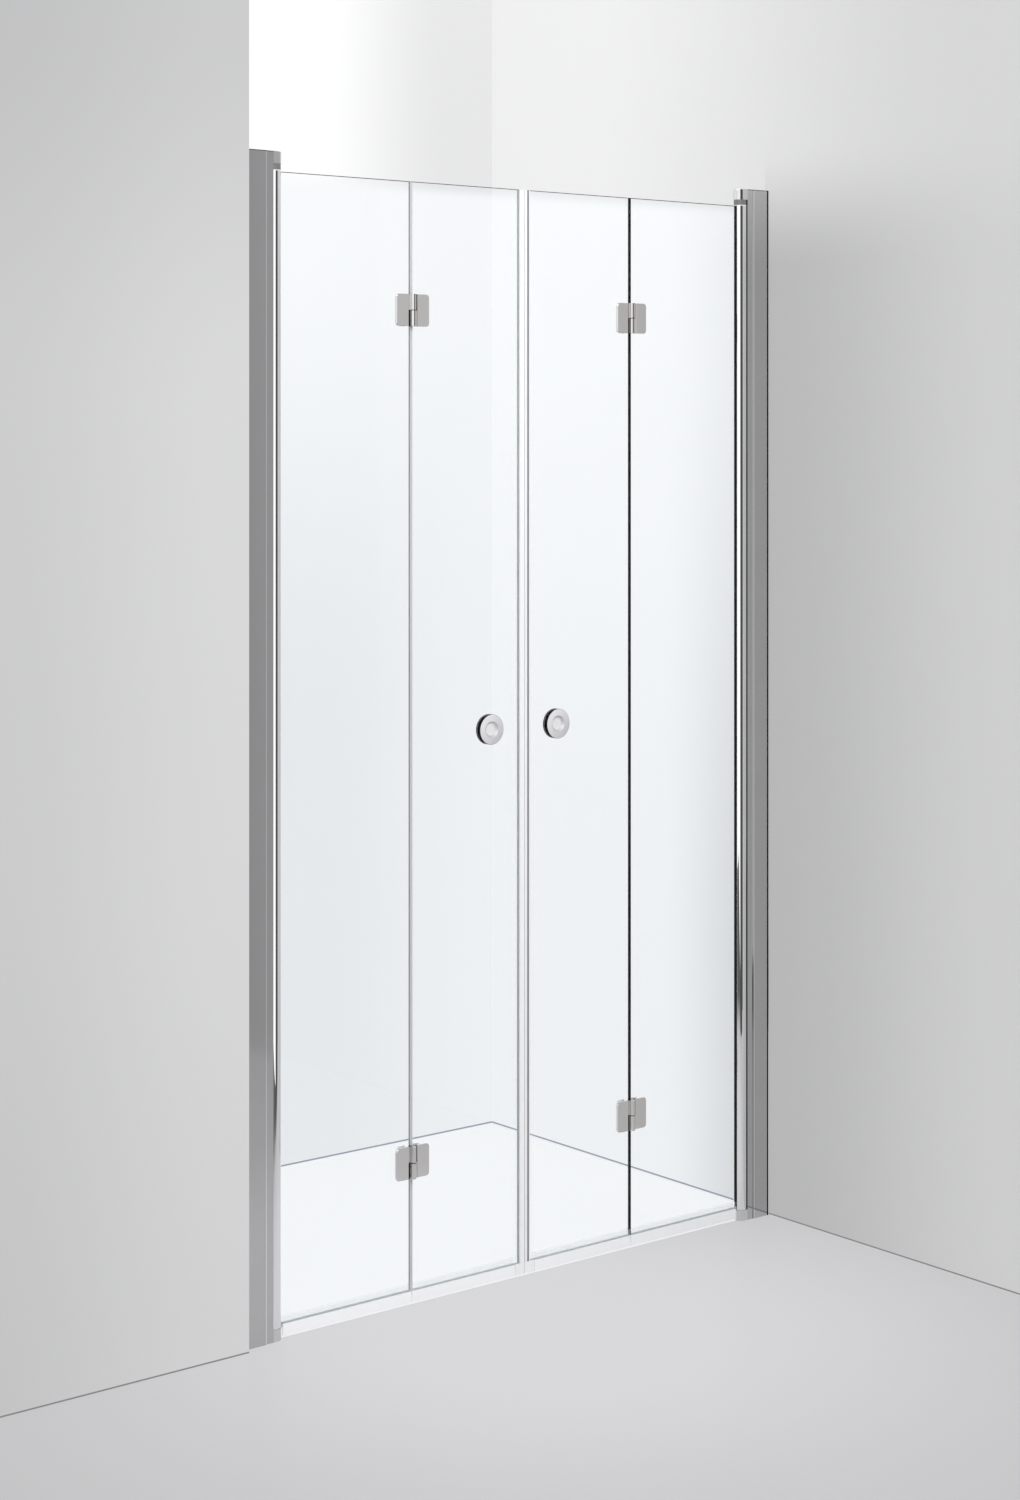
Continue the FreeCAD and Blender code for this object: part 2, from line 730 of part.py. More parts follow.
def hinge_leaf(side, hand, height):
    """An outer leaf: a bevelled plate on the glass, a low ledge, one knuckle and its sunk web."""
    is_upper = hand == LEFT
    reach = size.hinge_height / 2 - size.knuckle_gap / 2
    low = height + size.knuckle_gap / 2 if is_upper else height - size.hinge_height / 2
    axis_x = side * FOLD
    plate_x = from_fold(side, hand, KNUCKLE_RADIUS + size.leaf_edge_gap + OVERCUT)
    ledge_x = from_fold(side, hand, KNUCKLE_RADIUS + size.ledge_gap)
    plate = bevelled(
        leaf_plate("hinge_leaf_plate", side, hand, height, size.hinge_reach, as_size(0), size.leaf_thickness,
                   -LEAF_BACK), -1)
    knuckle = rod("hinge_knuckle", Z_AXIS, KNUCKLE_RADIUS, reach, at(axis_x, -HINGE_AXIS, low))
    web = block("hinge_web", (plate_x, axis_x) if is_upper else (axis_x, plate_x),
                (-LEAF_BACK - size.knuckle_web, -LEAF_BACK), (low, low + reach))
    ledge = block("hinge_ledge", (plate_x, ledge_x) if is_upper else (ledge_x, plate_x),
                  (-LEAF_BACK - size.ledge_thickness, -LEAF_BACK), around(height, size.hinge_height / 2))
    clearance = size.hinge_play if is_upper else size.seat_clearance
    cuts = [rod("hinge_bore", Z_AXIS, size.hinge_pin_radius + clearance, reach + 2 * OVERCUT,
                at(axis_x, -HINGE_AXIS, low - OVERCUT))]
    if is_upper:
        head_room = size.hinge_pin_head_height + size.hinge_play
        cuts.append(rod("hinge_head_bore", Z_AXIS, size.hinge_pin_head_radius + clearance, head_room + OVERCUT,
                        at(axis_x, -HINGE_AXIS, low + reach - head_room)))
    cuts += leaf_bores(side, hand, height, size.leaf_screw_radius + size.seat_clearance,
                       size.leaf_screw_cover - LEAF_FACE, OVERCUT - LEAF_BACK)
    return without("hinge_leaf", joined("hinge_leaf_blank", [plate, knuckle, web, ledge]), cuts)


def back_plate(side, hand, height):
    """The short clamp plate on the shower side, with recessed screw heads."""
    plate = bevelled(
        leaf_plate("back_plate_blank", side, hand, height, size.back_reach, as_size(0), size.leaf_thickness,
                   LEAF_FACE), 1)
    seat = LEAF_FACE - size.leaf_screw_recess - size.leaf_screw_head_height
    cuts = leaf_bores(side, hand, height, size.leaf_screw_radius + size.screw_clearance,
                      LEAF_BACK - OVERCUT, LEAF_FACE + OVERCUT)
    cuts += leaf_bores(side, hand, height, size.leaf_screw_head_radius + size.screw_clearance,
                       seat, LEAF_FACE + OVERCUT)
    return without("back_plate", plate, cuts)


def hinge_pads(side, hand, height):
    """The outer pad, and the inner pad with the sleeves that line the glass holes."""
    outer = leaf_plate("outer_pad_blank", side, hand, height, size.hinge_reach, size.pad_inset,
                       size.pad_thickness, -GLASS_FACE)
    inner = leaf_plate("inner_pad_blank", side, hand, height, size.back_reach, size.pad_inset,
                       size.pad_thickness, LEAF_BACK)
    sleeves = leaf_bores(side, hand, height, size.glass_hole_radius - size.screw_clearance,
                         -GLASS_FACE, GLASS_FACE + size.pad_thickness / 2)
    bores = [leaf_bores(side, hand, height, size.leaf_screw_radius + size.screw_clearance,
                        -LEAF_BACK - OVERCUT, LEAF_BACK + OVERCUT) for _ in range(2)]
    return [without("outer_pad", outer, bores[0]),
            without("inner_pad", joined("inner_pad_sleeved", [inner] + sleeves), bores[1])]


def leaf_screws(side, hand, height):
    """Screws from the back plate through the glass into the outer leaf."""
    seat = LEAF_FACE - size.leaf_screw_recess - size.leaf_screw_head_height
    outline = screw_outline(size.leaf_screw_cover - LEAF_FACE, size.leaf_screw_radius, seat,
                            size.leaf_screw_head_radius, size.leaf_screw_head_height)
    return [revolved("leaf_screw", outline, Y_AXIS, at(x, 0, z))
            for x, z in leaf_screw_places(side, hand, height)]


def hinge_pins(side):
    """Headed pins, pressed into the lower knuckles."""
    end = size.hinge_height / 2
    head_seat = end - size.hinge_pin_head_height
    outline = [
        (0, -end),
        (size.hinge_pin_radius, -end),
        (size.hinge_pin_radius, head_seat),
        (size.hinge_pin_head_radius, head_seat),
        (size.hinge_pin_head_radius, end),
        (0, end),
    ]
    pins = [revolved("hinge_pin", outline, Z_AXIS, at(side * FOLD, -HINGE_AXIS, height))
            for height in HINGE_HEIGHTS]
    return group(f"{SIDE_NAMES[side]}_hinge_pins", pins)


def hinge_half(side, panel_name, hand):
    """Everything that the two hinges clamp to one panel, grouped by kind."""
    name = f"{SIDE_NAMES[side]}_{panel_name}"
    return [
        group(f"{name}_hinge_leaves", [hinge_leaf(side, hand, height) for height in HINGE_HEIGHTS]),
        group(f"{name}_back_plates", [back_plate(side, hand, height) for height in HINGE_HEIGHTS]),
        group(f"{name}_hinge_pads", [pad for height in HINGE_HEIGHTS for pad in hinge_pads(side, hand, height)]),
        group(f"{name}_hinge_screws",
              [screw for height in HINGE_HEIGHTS for screw in leaf_screws(side, hand, height)]),
    ]


# Finger pulls: two dished rings that screw together through the glass

def pull_place(side):
    """The point where the pull's axis meets the glass's middle plane."""
    return at(side * (EDGE + size.pull_from_edge), 0, size.pull_height)


def pull_rim():
    """The flange's outline from its bevelled face to its back."""
    return [
        (size.pull_radius - size.pull_edge, PULL_FACE),
        (size.pull_radius, PULL_FACE - size.pull_edge),
        (size.pull_radius, PULL_BACK),
    ]


def outer_pull(side):
    """The ring on the dry side, with a threaded tube through the glass."""
    tube_bore = size.pull_tube_radius - size.pull_tube_wall
    outline = [
        (0, PULL_FACE - size.dish_depth),
        (size.dish_floor_radius, PULL_FACE - size.dish_depth),
        (size.dish_radius, PULL_FACE),
        *pull_rim(),
        (size.pull_tube_radius, PULL_BACK),
        (size.pull_tube_radius, -PULL_TUBE_END),
        (tube_bore, -PULL_TUBE_END),
        (tube_bore, PULL_FLOOR_BACK),
        (0, PULL_FLOOR_BACK),
    ]
    return revolved(f"{SIDE_NAMES[side]}_outer_pull", outline, -Y_AXIS, pull_place(side))


def inner_pull(side):
    """The ring on the shower side, with a threaded plug."""
    plug = size.pull_tube_radius - size.pull_tube_wall - size.running_clearance
    plug_end = size.running_clearance - PULL_FLOOR_BACK
    outline = [
        (0, PULL_FACE - size.back_dish_depth),
        (size.back_dish_floor_radius, PULL_FACE - size.back_dish_depth),
        (size.back_dish_radius, PULL_FACE),
        *pull_rim(),
        (plug, PULL_BACK),
        (plug, plug_end),
        (0, plug_end),
    ]
    return revolved(f"{SIDE_NAMES[side]}_inner_pull", outline, Y_AXIS, pull_place(side))


def pull_washers(side):
    """Rubber washers between the rings and the glass."""
    bore = size.pull_tube_radius + size.pull_hole_clearance
    rim = size.pull_radius - size.pull_washer_inset
    outline = [(bore, GLASS_FACE), (rim, GLASS_FACE), (rim, PULL_BACK), (bore, PULL_BACK)]
    washers = [revolved("pull_washer_ring", outline, way, pull_place(side)) for way in (-Y_AXIS, Y_AXIS)]
    return group(f"{SIDE_NAMES[side]}_pull_washers", washers)


# Seals

def sweep(label, side, near, far):
    """A clear strip clipped under a panel: a skirt on the dry side and a drip fin on the wet side."""
    clip_face = GLASS_FACE + size.sweep_wall
    clip_top = GLASS_BOTTOM + size.sweep_clip
    base = GLASS_BOTTOM - size.sweep_base
    outline = [
        (-GLASS_FACE, GLASS_BOTTOM),
        (-GLASS_FACE, clip_top),
        (-clip_face, clip_top),
        (-clip_face, size.floor_gap),
        (size.skirt_thickness - clip_face, size.floor_gap),
        (size.skirt_thickness - clip_face, base),
        (GLASS_FACE, base),
        (GLASS_FACE + size.fin_reach, base - size.fin_drop),
        (clip_face + size.fin_reach, base - size.fin_drop + size.sweep_wall),
        (clip_face, base + size.sweep_wall),
        (clip_face, clip_top),
        (GLASS_FACE, clip_top),
        (GLASS_FACE, GLASS_BOTTOM),
    ]
    low, high = span(side, near, far)
    return extruded(label, "YZ_Plane", [outline], high - low, at(low, 0, 0))


def outer_sweep(side):
    """The sweep under the panel beside the column."""
    return sweep(f"{SIDE_NAMES[side]}_outer_sweep", side, FOLD + size.sweep_end_gap,
                 PIVOT - COLUMN_RADIUS - size.sweep_from_column)


def inner_sweep(side):
    """The sweep under the panel beside the middle, up to the magnet seal's clip."""
    return sweep(f"{SIDE_NAMES[side]}_inner_sweep", side, EDGE + size.magnet_clip + size.sweep_end_gap,
                 FOLD - size.sweep_end_gap)


MAGNET_FACE = size.magnet_clearance / 2
MAGNET_HALF = GLASS_FACE + size.magnet_wall
CHAMBER = (MAGNET_FACE + size.magnet_wall, EDGE - size.magnet_base)


def magnet_seal(side):
    """A strip clipped on the free edge, with a chamber for the magnet."""
    clip_end = EDGE + size.magnet_clip
    half = [
        (EDGE, GLASS_FACE),
        (clip_end, GLASS_FACE),
        (clip_end, MAGNET_HALF),
        (MAGNET_FACE + size.magnet_corner, MAGNET_HALF),
        (MAGNET_FACE, MAGNET_HALF - size.magnet_corner),
    ]
    chamber = [(out, GLASS_FACE) for out in CHAMBER]
    loops = [[(side * out, y) for out, y in mirrored(loop)] for loop in (half, chamber)]
    return extruded(f"{SIDE_NAMES[side]}_magnet_seal", "XY_Plane", loops, GLASS_TOP - size.floor_gap,
                    at(0, 0, size.floor_gap))


def magnet_strip(side):
    """The magnet inside the seal's chamber."""
    near, far = CHAMBER
    return block(f"{SIDE_NAMES[side]}_magnet_strip",
                 span(side, near + size.magnet_play, far - size.magnet_play),
                 both_ways(GLASS_FACE - size.magnet_play),
                 (size.floor_gap + size.magnet_play, GLASS_TOP - size.magnet_play))


def fold_seal(side):
    """A tapered strip on the outer panel's edge that closes the gap at the fold."""
    root = FOLD + size.fold_gap / 2
    tip = FOLD - size.fold_gap / 2 + size.fold_seal_lip
    root_half = GLASS_FACE - size.glass_arris
    half = [(root, root_half), (tip, root_half - size.fold_seal_taper)]
    outline = [(side * out, y) for out, y in mirrored(half)]
    return extruded(f"{SIDE_NAMES[side]}_fold_seal", "XY_Plane", [outline], GLASS_TOP - GLASS_BOTTOM,
                    at(0, 0, GLASS_BOTTOM))


# The whole screen

parts = [wall_channel(LEFT), wall_channel(RIGHT), clamp_screws()]
for door in (LEFT, RIGHT):
    parts += [
        jamb_profile(door),
        head_block(door),
        foot_block(door),
        block_screws(door),
        pivot_pins(door),
        collar(door),
        column(door),
        column_bushes(door),
        column_gasket(door),
        outer_glass(door),
        *hinge_half(door, "outer", door),
        outer_sweep(door),
        fold_seal(door),
        inner_glass(door),
        *hinge_half(door, "inner", -door),
        hinge_pins(door),
        outer_pull(door),
        inner_pull(door),
        pull_washers(door),
        inner_sweep(door),
        magnet_seal(door),
        magnet_strip(door),
    ]
doc.recompute()

for thing in doc.Objects:
    if "Invalid" in thing.State or "Error" in thing.State:
        raise RuntimeError(f"{thing.Label} failed: {thing.State}")
for part in parts:
    if part.Shape.isNull() or not part.Shape.isValid():
        raise RuntimeError(f"{part.Label} has no valid shape")

os.makedirs(PARTS_FOLDER, exist_ok=True)
for part in parts:
    part.Shape.exportStep(os.path.join(PARTS_FOLDER, f"{part.Label}.step"))
    print(part.Label, len(part.Shape.Solids), round(part.Shape.Volume))
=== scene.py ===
"""Looks of a niche shower screen with two bifold glass doors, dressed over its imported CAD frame."""
import logging
import math
from collections.abc import Mapping, Sequence
from dataclasses import dataclass, field, replace
from enum import Enum
from functools import cached_property

import bpy
import numpy as np
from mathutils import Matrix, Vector


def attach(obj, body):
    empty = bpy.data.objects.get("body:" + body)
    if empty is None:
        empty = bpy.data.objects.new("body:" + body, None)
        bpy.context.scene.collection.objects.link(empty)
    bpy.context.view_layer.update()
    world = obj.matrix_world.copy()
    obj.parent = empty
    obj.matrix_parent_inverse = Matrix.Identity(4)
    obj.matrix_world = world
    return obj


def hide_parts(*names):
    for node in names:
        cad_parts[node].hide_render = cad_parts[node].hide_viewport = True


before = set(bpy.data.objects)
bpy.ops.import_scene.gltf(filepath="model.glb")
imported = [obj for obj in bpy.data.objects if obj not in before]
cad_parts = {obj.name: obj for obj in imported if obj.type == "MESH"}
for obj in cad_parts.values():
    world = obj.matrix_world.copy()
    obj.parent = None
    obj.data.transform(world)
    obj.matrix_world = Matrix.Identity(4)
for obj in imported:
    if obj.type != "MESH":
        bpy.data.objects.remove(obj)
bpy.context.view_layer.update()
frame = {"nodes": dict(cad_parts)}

log = logging.getLogger("shower_screen")

Colour = tuple[float, float, float]
Point = tuple[float, float, float]
ACROSS, INWARD, UPWARD = range(3)


class Side(Enum):
    """The two doors, seen from outside the shower, with the sign of their X."""

    LEFT = -1
    RIGHT = 1

    def node(self, part: str) -> str:
        """The CAD node of one of this door's parts."""
        return f"{self.name.lower()}_{part}"


class Run(Enum):
    """The axis that a surface's fine lines follow, as stretch factors for X, Y and Z."""

    UPRIGHT = (1.0, 1.0, 0.004)
    LEVEL = (0.004, 1.0, 1.0)
    NONE = (1.0, 1.0, 1.0)


# Shader maths


class Value:
    """A node's output socket, whose arithmetic adds Math nodes."""

    def __init__(self, sheet: "NodeSheet", socket: bpy.types.NodeSocket) -> None:
        """Wraps a socket.

        Args:
            sheet: The node sheet that the socket is on.
            socket: The output socket.
        """
        self.sheet = sheet
        self.socket = socket

    def maths(self, operation: str, *terms: "Value | float") -> "Value":
        """One Math node.

        Args:
            operation: The Math node's operation.
            terms: Its inputs, in order.

        Returns:
            The node's result.
        """
        return self.sheet.node("ShaderNodeMath", {"operation": operation}, dict(enumerate(terms)))

    def __add__(self, other: "Value | float") -> "Value":
        """This plus the other."""
        return self.maths("ADD", self, other)

    def __radd__(self, other: float) -> "Value":
        """The other plus this."""
        return self.maths("ADD", other, self)

    def __sub__(self, other: "Value | float") -> "Value":
        """This less the other."""
        return self.maths("SUBTRACT", self, other)

    def __rsub__(self, other: float) -> "Value":
        """The other less this."""
        return self.maths("SUBTRACT", other, self)

    def __mul__(self, other: "Value | float") -> "Value":
        """This times the other."""
        return self.maths("MULTIPLY", self, other)

    def __rmul__(self, other: float) -> "Value":
        """The other times this."""
        return self.maths("MULTIPLY", other, self)

    def __pow__(self, power: float) -> "Value":
        """This to a power."""
        return self.maths("POWER", self, power)

    def __abs__(self) -> "Value":
        """This without its sign."""
        return self.maths("ABSOLUTE", self)

    def __lt__(self, other: "Value | float") -> "Value":
        """One where this is under the other, else zero."""
        return self.maths("LESS_THAN", self, other)

    def __gt__(self, other: "Value | float") -> "Value":
        """One where this is over the other, else zero."""
        return self.maths("GREATER_THAN", self, other)


Setting = str | float | bool
Entry = Value | float | Sequence[float]


class NodeSheet:
    """A material's or the world's node tree, emptied, with one way to add a node."""

    def __init__(self, tree: bpy.types.NodeTree) -> None:
        """Empties a tree.

        Args:
            tree: The node tree to fill.
        """
        self.tree = tree
        tree.nodes.clear()

    def node(self, kind: str, settings: Mapping[str, Setting] | None = None,
             inputs: Mapping[str | int, Entry] | None = None, output: str | int = 0) -> Value:
        """Adds any node: its settings first, then the values or links of its sockets.

        Args:
            kind: The node's type name.
            settings: Properties of the node.
            inputs: Socket values or links, by socket name or number.
            output: The output to hand back.

        Returns:
            The chosen output.
        """
        node = self.tree.nodes.new(kind)
        for name, setting in (settings or {}).items():
            setattr(node, name, setting)
        for name, entry in (inputs or {}).items():
            if isinstance(entry, Value):
                self.tree.links.new(entry.socket, node.inputs[name])
            else:
                node.inputs[name].default_value = entry
        return Value(self, node.outputs[output]) if node.outputs else Value(self, None)

    @cached_property
    def place(self) -> Value:
        """Object coordinates, in metres."""
        return self.node("ShaderNodeTexCoord", output="Object")

    @cached_property
    def axes(self) -> tuple[Value, Value, Value]:
        """The X, Y and Z of the object coordinates."""
        return self.split(self.place)

    @cached_property
    def facing(self) -> tuple[Value, Value, Value]:
        """The X, Y and Z of the surface's normal in the object's own frame."""
        return self.split(self.node("ShaderNodeTexCoord", output="Normal"))

    def split(self, vector: Value) -> tuple[Value, Value, Value]:
        """A vector's three numbers.

        Args:
            vector: The vector to take apart.

        Returns:
            Its X, Y and Z.
        """
        first = self.node("ShaderNodeSeparateXYZ", inputs={0: vector})
        return tuple(Value(self, socket) for socket in first.socket.node.outputs)

    def noise(self, scale: float, run: Run = Run.NONE, detail: float = 2.0, shift: float = 0.0) -> Value:
        """Soft noise over the object, drawn out along one axis.

        Args:
            scale: Lumps per metre across the run.
            run: The axis that it is drawn out along.
            detail: Octaves of finer noise.
            shift: How far the pattern is moved, to give another one.

        Returns:
            A value about 0.5.
        """
        drawn = self.node("ShaderNodeMapping", {"vector_type": "POINT"},
                          {"Vector": self.place, "Location": (shift, shift, shift), "Scale": run.value})
        return self.node("ShaderNodeTexNoise", None, {"Vector": drawn, "Scale": scale, "Detail": detail})

    def ramp(self, place: Value, start: float, end: float) -> Value:
        """A smooth rise from zero to one.

        Args:
            place: The value that it follows.
            start: Where it leaves zero.
            end: Where it reaches one.

        Returns:
            The rise.
        """
        return self.node("ShaderNodeMapRange", {"interpolation_type": "SMOOTHSTEP"},
                         {0: place, 1: start, 2: end})

    def distance(self, point: Point) -> Value:
        """How far the surface is from a point, in metres."""
        return self.node("ShaderNodeVectorMath", {"operation": "DISTANCE"}, {0: self.place, 1: point},
                         output="Value")

    def ray(self, kind: str) -> Value:
        """One for rays of a kind, else zero."""
        return self.node("ShaderNodeLightPath", output=f"Is {kind} Ray")

    def tint(self, share: Value, low: Colour | Value, high: Colour | Value) -> Value:
        """A colour between two.

        Args:
            share: How far it is towards the second colour.
            low: The first colour, or a link to one.
            high: The second colour, or a link to one.

        Returns:
            The mixed colour.
        """
        first, second = (end if isinstance(end, Value) else (*end, 1.0) for end in (low, high))
        return self.node("ShaderNodeMix", {"data_type": "RGBA"}, {0: share, 6: first, 7: second}, output=2)

    def patched(self, tone: Value, patches: Sequence["Patch"]) -> Value:
        """A colour with patches of other colours over it.

        Args:
            tone: The colour.
            patches: The patches, the last on top.

        Returns:
            The patched colour.
        """
        for patch in patches:
            tone = self.tint(patch.mask(self), tone, patch.colour)
        return tone

    def bump(self, height: Value, depth: float) -> Value:
        """A normal roughened by a height.

        Args:
            height: The height, about 0 to 1.
            depth: The height's scale, in metres.

        Returns:
            The bumped normal.
        """
        return self.node("ShaderNodeBump", None, {"Strength": 1.0, "Distance": depth, "Height": height})

    def blend(self, share: Value | float, first: Value, second: Value) -> Value:
        """Two shaders mixed.

        Args:
            share: How much of the second shader there is.
            first: The first shader.
            second: The second shader.

        Returns:
            The mixed shader.
        """
        return self.node("ShaderNodeMixShader", None, {0: share, 1: first, 2: second})

    def principled(self, inputs: Mapping[str, Entry]) -> Value:
        """A Principled shader with these sockets set.

        Args:
            inputs: The values or links of its sockets.

        Returns:
            The shader.
        """
        return self.node("ShaderNodeBsdfPrincipled", None, inputs)


# Finishes


Limits = tuple[float, float]
EVERYWHERE: Limits = (-math.inf, math.inf)
WHITE = (1.0, 1.0, 1.0, 1.0)
FINE_DETAIL = 3.0
SMUDGE_SHIFT = 3.0
SATIN_SHIFT = 5.0
FLOW_SHIFT = 7.0
SCHLICK_POWER = 5


def about(middle: float, half: float) -> Limits:
    """The limits that lie half a width either side of a middle."""
    return (middle - half, middle + half)


@dataclass(frozen=True)
class Patch:
    """A colour laid over a box, given by the distance out from the doorway's middle, X, Y and Z; most
    patches here are painted shade or painted highlights.
    """

    colour: Colour
    out: Limits = EVERYWHERE
    x: Limits = EVERYWHERE
    y: Limits = EVERYWHERE
    z: Limits = EVERYWHERE

    def mask(self, sheet: NodeSheet) -> Value:
        """Where the patch is.

        Args:
            sheet: The node sheet to build it on.

        Returns:
            One inside the box, else zero.
        """
        x, y, z = sheet.axes
        inside = 1.0
        for place, limits in ((abs(x), self.out), (x, self.x), (y, self.y), (z, self.z)):
            if limits is not EVERYWHERE:
                inside = inside * (abs(place - sum(limits) / 2) < (limits[1] - limits[0]) / 2)
        return inside


@dataclass(frozen=True)
class Finish:
    """A surface's look, which makes its own material."""

    name: str

    def shade(self, sheet: NodeSheet) -> Value:
        """The finish's shader.

        Args:
            sheet: The node sheet to build it on.

        Returns:
            The shader.
        """
        raise NotImplementedError

    def material(self) -> bpy.types.Material:
        """The finish as a material.

        Returns:
            A new material.
        """
        made = bpy.data.materials.new(self.name)
        made.use_nodes = True
        sheet = NodeSheet(made.node_tree)
        sheet.node("ShaderNodeOutputMaterial", None, {"Surface": self.shade(sheet)})
        return made


@dataclass(frozen=True)
class BrightMetal(Finish):
    """Plated or polished metal with fine lines along its run, smudges, a slight unevenness and any patches
    of painted shade or highlight.
    """

    colour: Colour
    roughness: float
    line_roughness: float = 0.06
    line_depth: float = 2e-6
    lines_per_metre: float = 1600.0
    smudges_per_metre: float = 14.0
    smudge_shade: float = 0.93
    run: Run = Run.UPRIGHT
    patches: tuple[Patch, ...] = ()

    def shade(self, sheet: NodeSheet) -> Value:
        """Metal whose gloss and normal follow its drawn lines, as in Finish.shade."""
        lines = sheet.noise(self.lines_per_metre, self.run, detail=FINE_DETAIL)
        smudges = sheet.noise(self.smudges_per_metre, shift=SMUDGE_SHIFT)
        darker = tuple(self.smudge_shade * channel for channel in self.colour)
        return sheet.principled({
            "Base Color": sheet.patched(sheet.tint(smudges, darker, self.colour), self.patches),
            "Metallic": 1.0,
            "Roughness": self.roughness + self.line_roughness * lines * smudges,
            "Normal": sheet.bump(lines, self.line_depth),
        })


@dataclass(frozen=True)
class TurnedMetal(Finish):
    """Pale satin metal with fine turning rings about a pull's axis, with painted shade on its dish wall and
    a rim painted black as shade.

    Its ring carries a painted sheen, lighter at the upper left and darker at the lower right.
    """

    pale: Colour
    deep: Colour
    dish_wall_shade: Colour
    roughness: float
    axis: Point
    dish_wall: Limits
    rim_radius: float
    rim_shade: Colour = (0.01, 0.01, 0.011)
    ring_pitch: float = 0.0004
    ring_depth: float = 4e-7
    sheen_slope: float = 0.4
    ring_metallic: float = 0.4
    wall_roughness: float = 0.25
    mottle: float = 0.06
    mottle_per_metre: float = 90.0

    def shade(self, sheet: NodeSheet) -> Value:
        """Metal whose normal follows a sine of the distance from the pull's axis, as in Finish.shade."""
        x, _, z = sheet.axes
        aside = x - self.axis[0]
        above = z - self.axis[2]
        radius = (aside ** 2 + above ** 2) ** 0.5
        turns = radius * (2 * math.pi / self.ring_pitch)
        wall_start, wall_end = self.dish_wall
        on_wall = (radius > wall_start) * (radius < wall_end)
        on_rim = radius > self.rim_radius
        # Painted sheen: the ring's face shades from the pale tone at the upper left to the deep tone at the
        # lower right.
        painted_sheen = (0.5 + (aside - above) * (self.sheen_slope / self.rim_radius)) * (radius > wall_end)
        mottle = self.mottle * (sheet.noise(self.mottle_per_metre, shift=SATIN_SHIFT) - 0.5)
        # Painted shade: the dish wall is given a darker colour.
        tone = sheet.tint(on_wall, sheet.tint(painted_sheen, self.pale, self.deep), self.dish_wall_shade)
        return sheet.principled({
            # Painted shade: a black band round the ring's rim.
            "Base Color": sheet.tint(on_rim, tone, self.rim_shade),
            "Metallic": self.ring_metallic + (1 - self.ring_metallic) * on_rim,
            "Roughness": self.roughness + self.wall_roughness * on_wall + mottle,
            "Normal": sheet.bump(turns.maths("SINE", turns), self.ring_depth),
        })


@dataclass(frozen=True)
class MouldedPolymer(Finish):
    """Moulded plastic or rubber with a fine grain."""

    colour: Colour
    roughness: float
    gloss: float = 0.5
    grain_per_metre: float = 2200.0
    grain_depth: float = 1.5e-5
    grain_roughness: float = 0.12
    flow_per_metre: float = 25.0
    flow_shade: float = 0.85

    def shade(self, sheet: NodeSheet) -> Value:
        """A plastic whose colour, gloss and normal follow its grain, as in Finish.shade."""
        grain = sheet.noise(self.grain_per_metre, detail=FINE_DETAIL)
        flow = sheet.noise(self.flow_per_metre, shift=FLOW_SHIFT)
        darker = tuple(self.flow_shade * channel for channel in self.colour)
        return sheet.principled({
            "Base Color": sheet.tint(flow, darker, self.colour),
            "Roughness": self.roughness + self.grain_roughness * (grain - 0.5),
            "Specular IOR Level": self.gloss,
            "Normal": sheet.bump(grain, self.grain_depth),
        })


class Core(Enum):
    """Where a seal is thick and milky: near the doorway's middle, low down, or nowhere."""

    MIDDLE = 0
    LOW = 2
    NOWHERE = -1


@dataclass(frozen=True)
class ClearSeal(Finish):
    """Soft clear extrusion, white where it is thick, with draw lines along its length."""

    colour: Colour
    run: Run
    core: Core
    core_limit: float = 0.0
    core_milk: float = 0.92
    leg_milk: float = 0.2
    foot: float = 0.0
    roughness: float = 0.22
    lines_per_metre: float = 900.0
    line_depth: float = 1e-5
    line_pallor: float = 1.05
    unevenness: float = 0.1
    patches: tuple[Patch, ...] = ()

    def shade(self, sheet: NodeSheet) -> Value:
        """A plastic that hides what is behind its core and foot, hardly its legs, as in Finish.shade."""
        lines = sheet.noise(self.lines_per_metre, self.run, detail=FINE_DETAIL)
        uneven = self.unevenness * (lines - 0.5)
        paler = tuple(min(1.0, self.line_pallor * channel) for channel in self.colour)
        milk = self.leg_milk + uneven
        if self.core is not Core.NOWHERE:
            in_core = abs(sheet.axes[self.core.value]) < self.core_limit
            in_foot = sheet.axes[2] < self.foot
            milk = milk + (self.core_milk - self.leg_milk) * in_core.maths("MAXIMUM", in_core, in_foot)
        return sheet.principled({
            "Base Color": sheet.patched(sheet.tint(lines, self.colour, paler), self.patches),
            "Roughness": self.roughness + uneven,
            "Alpha": milk,
            "Normal": sheet.bump(lines, self.line_depth),
        })


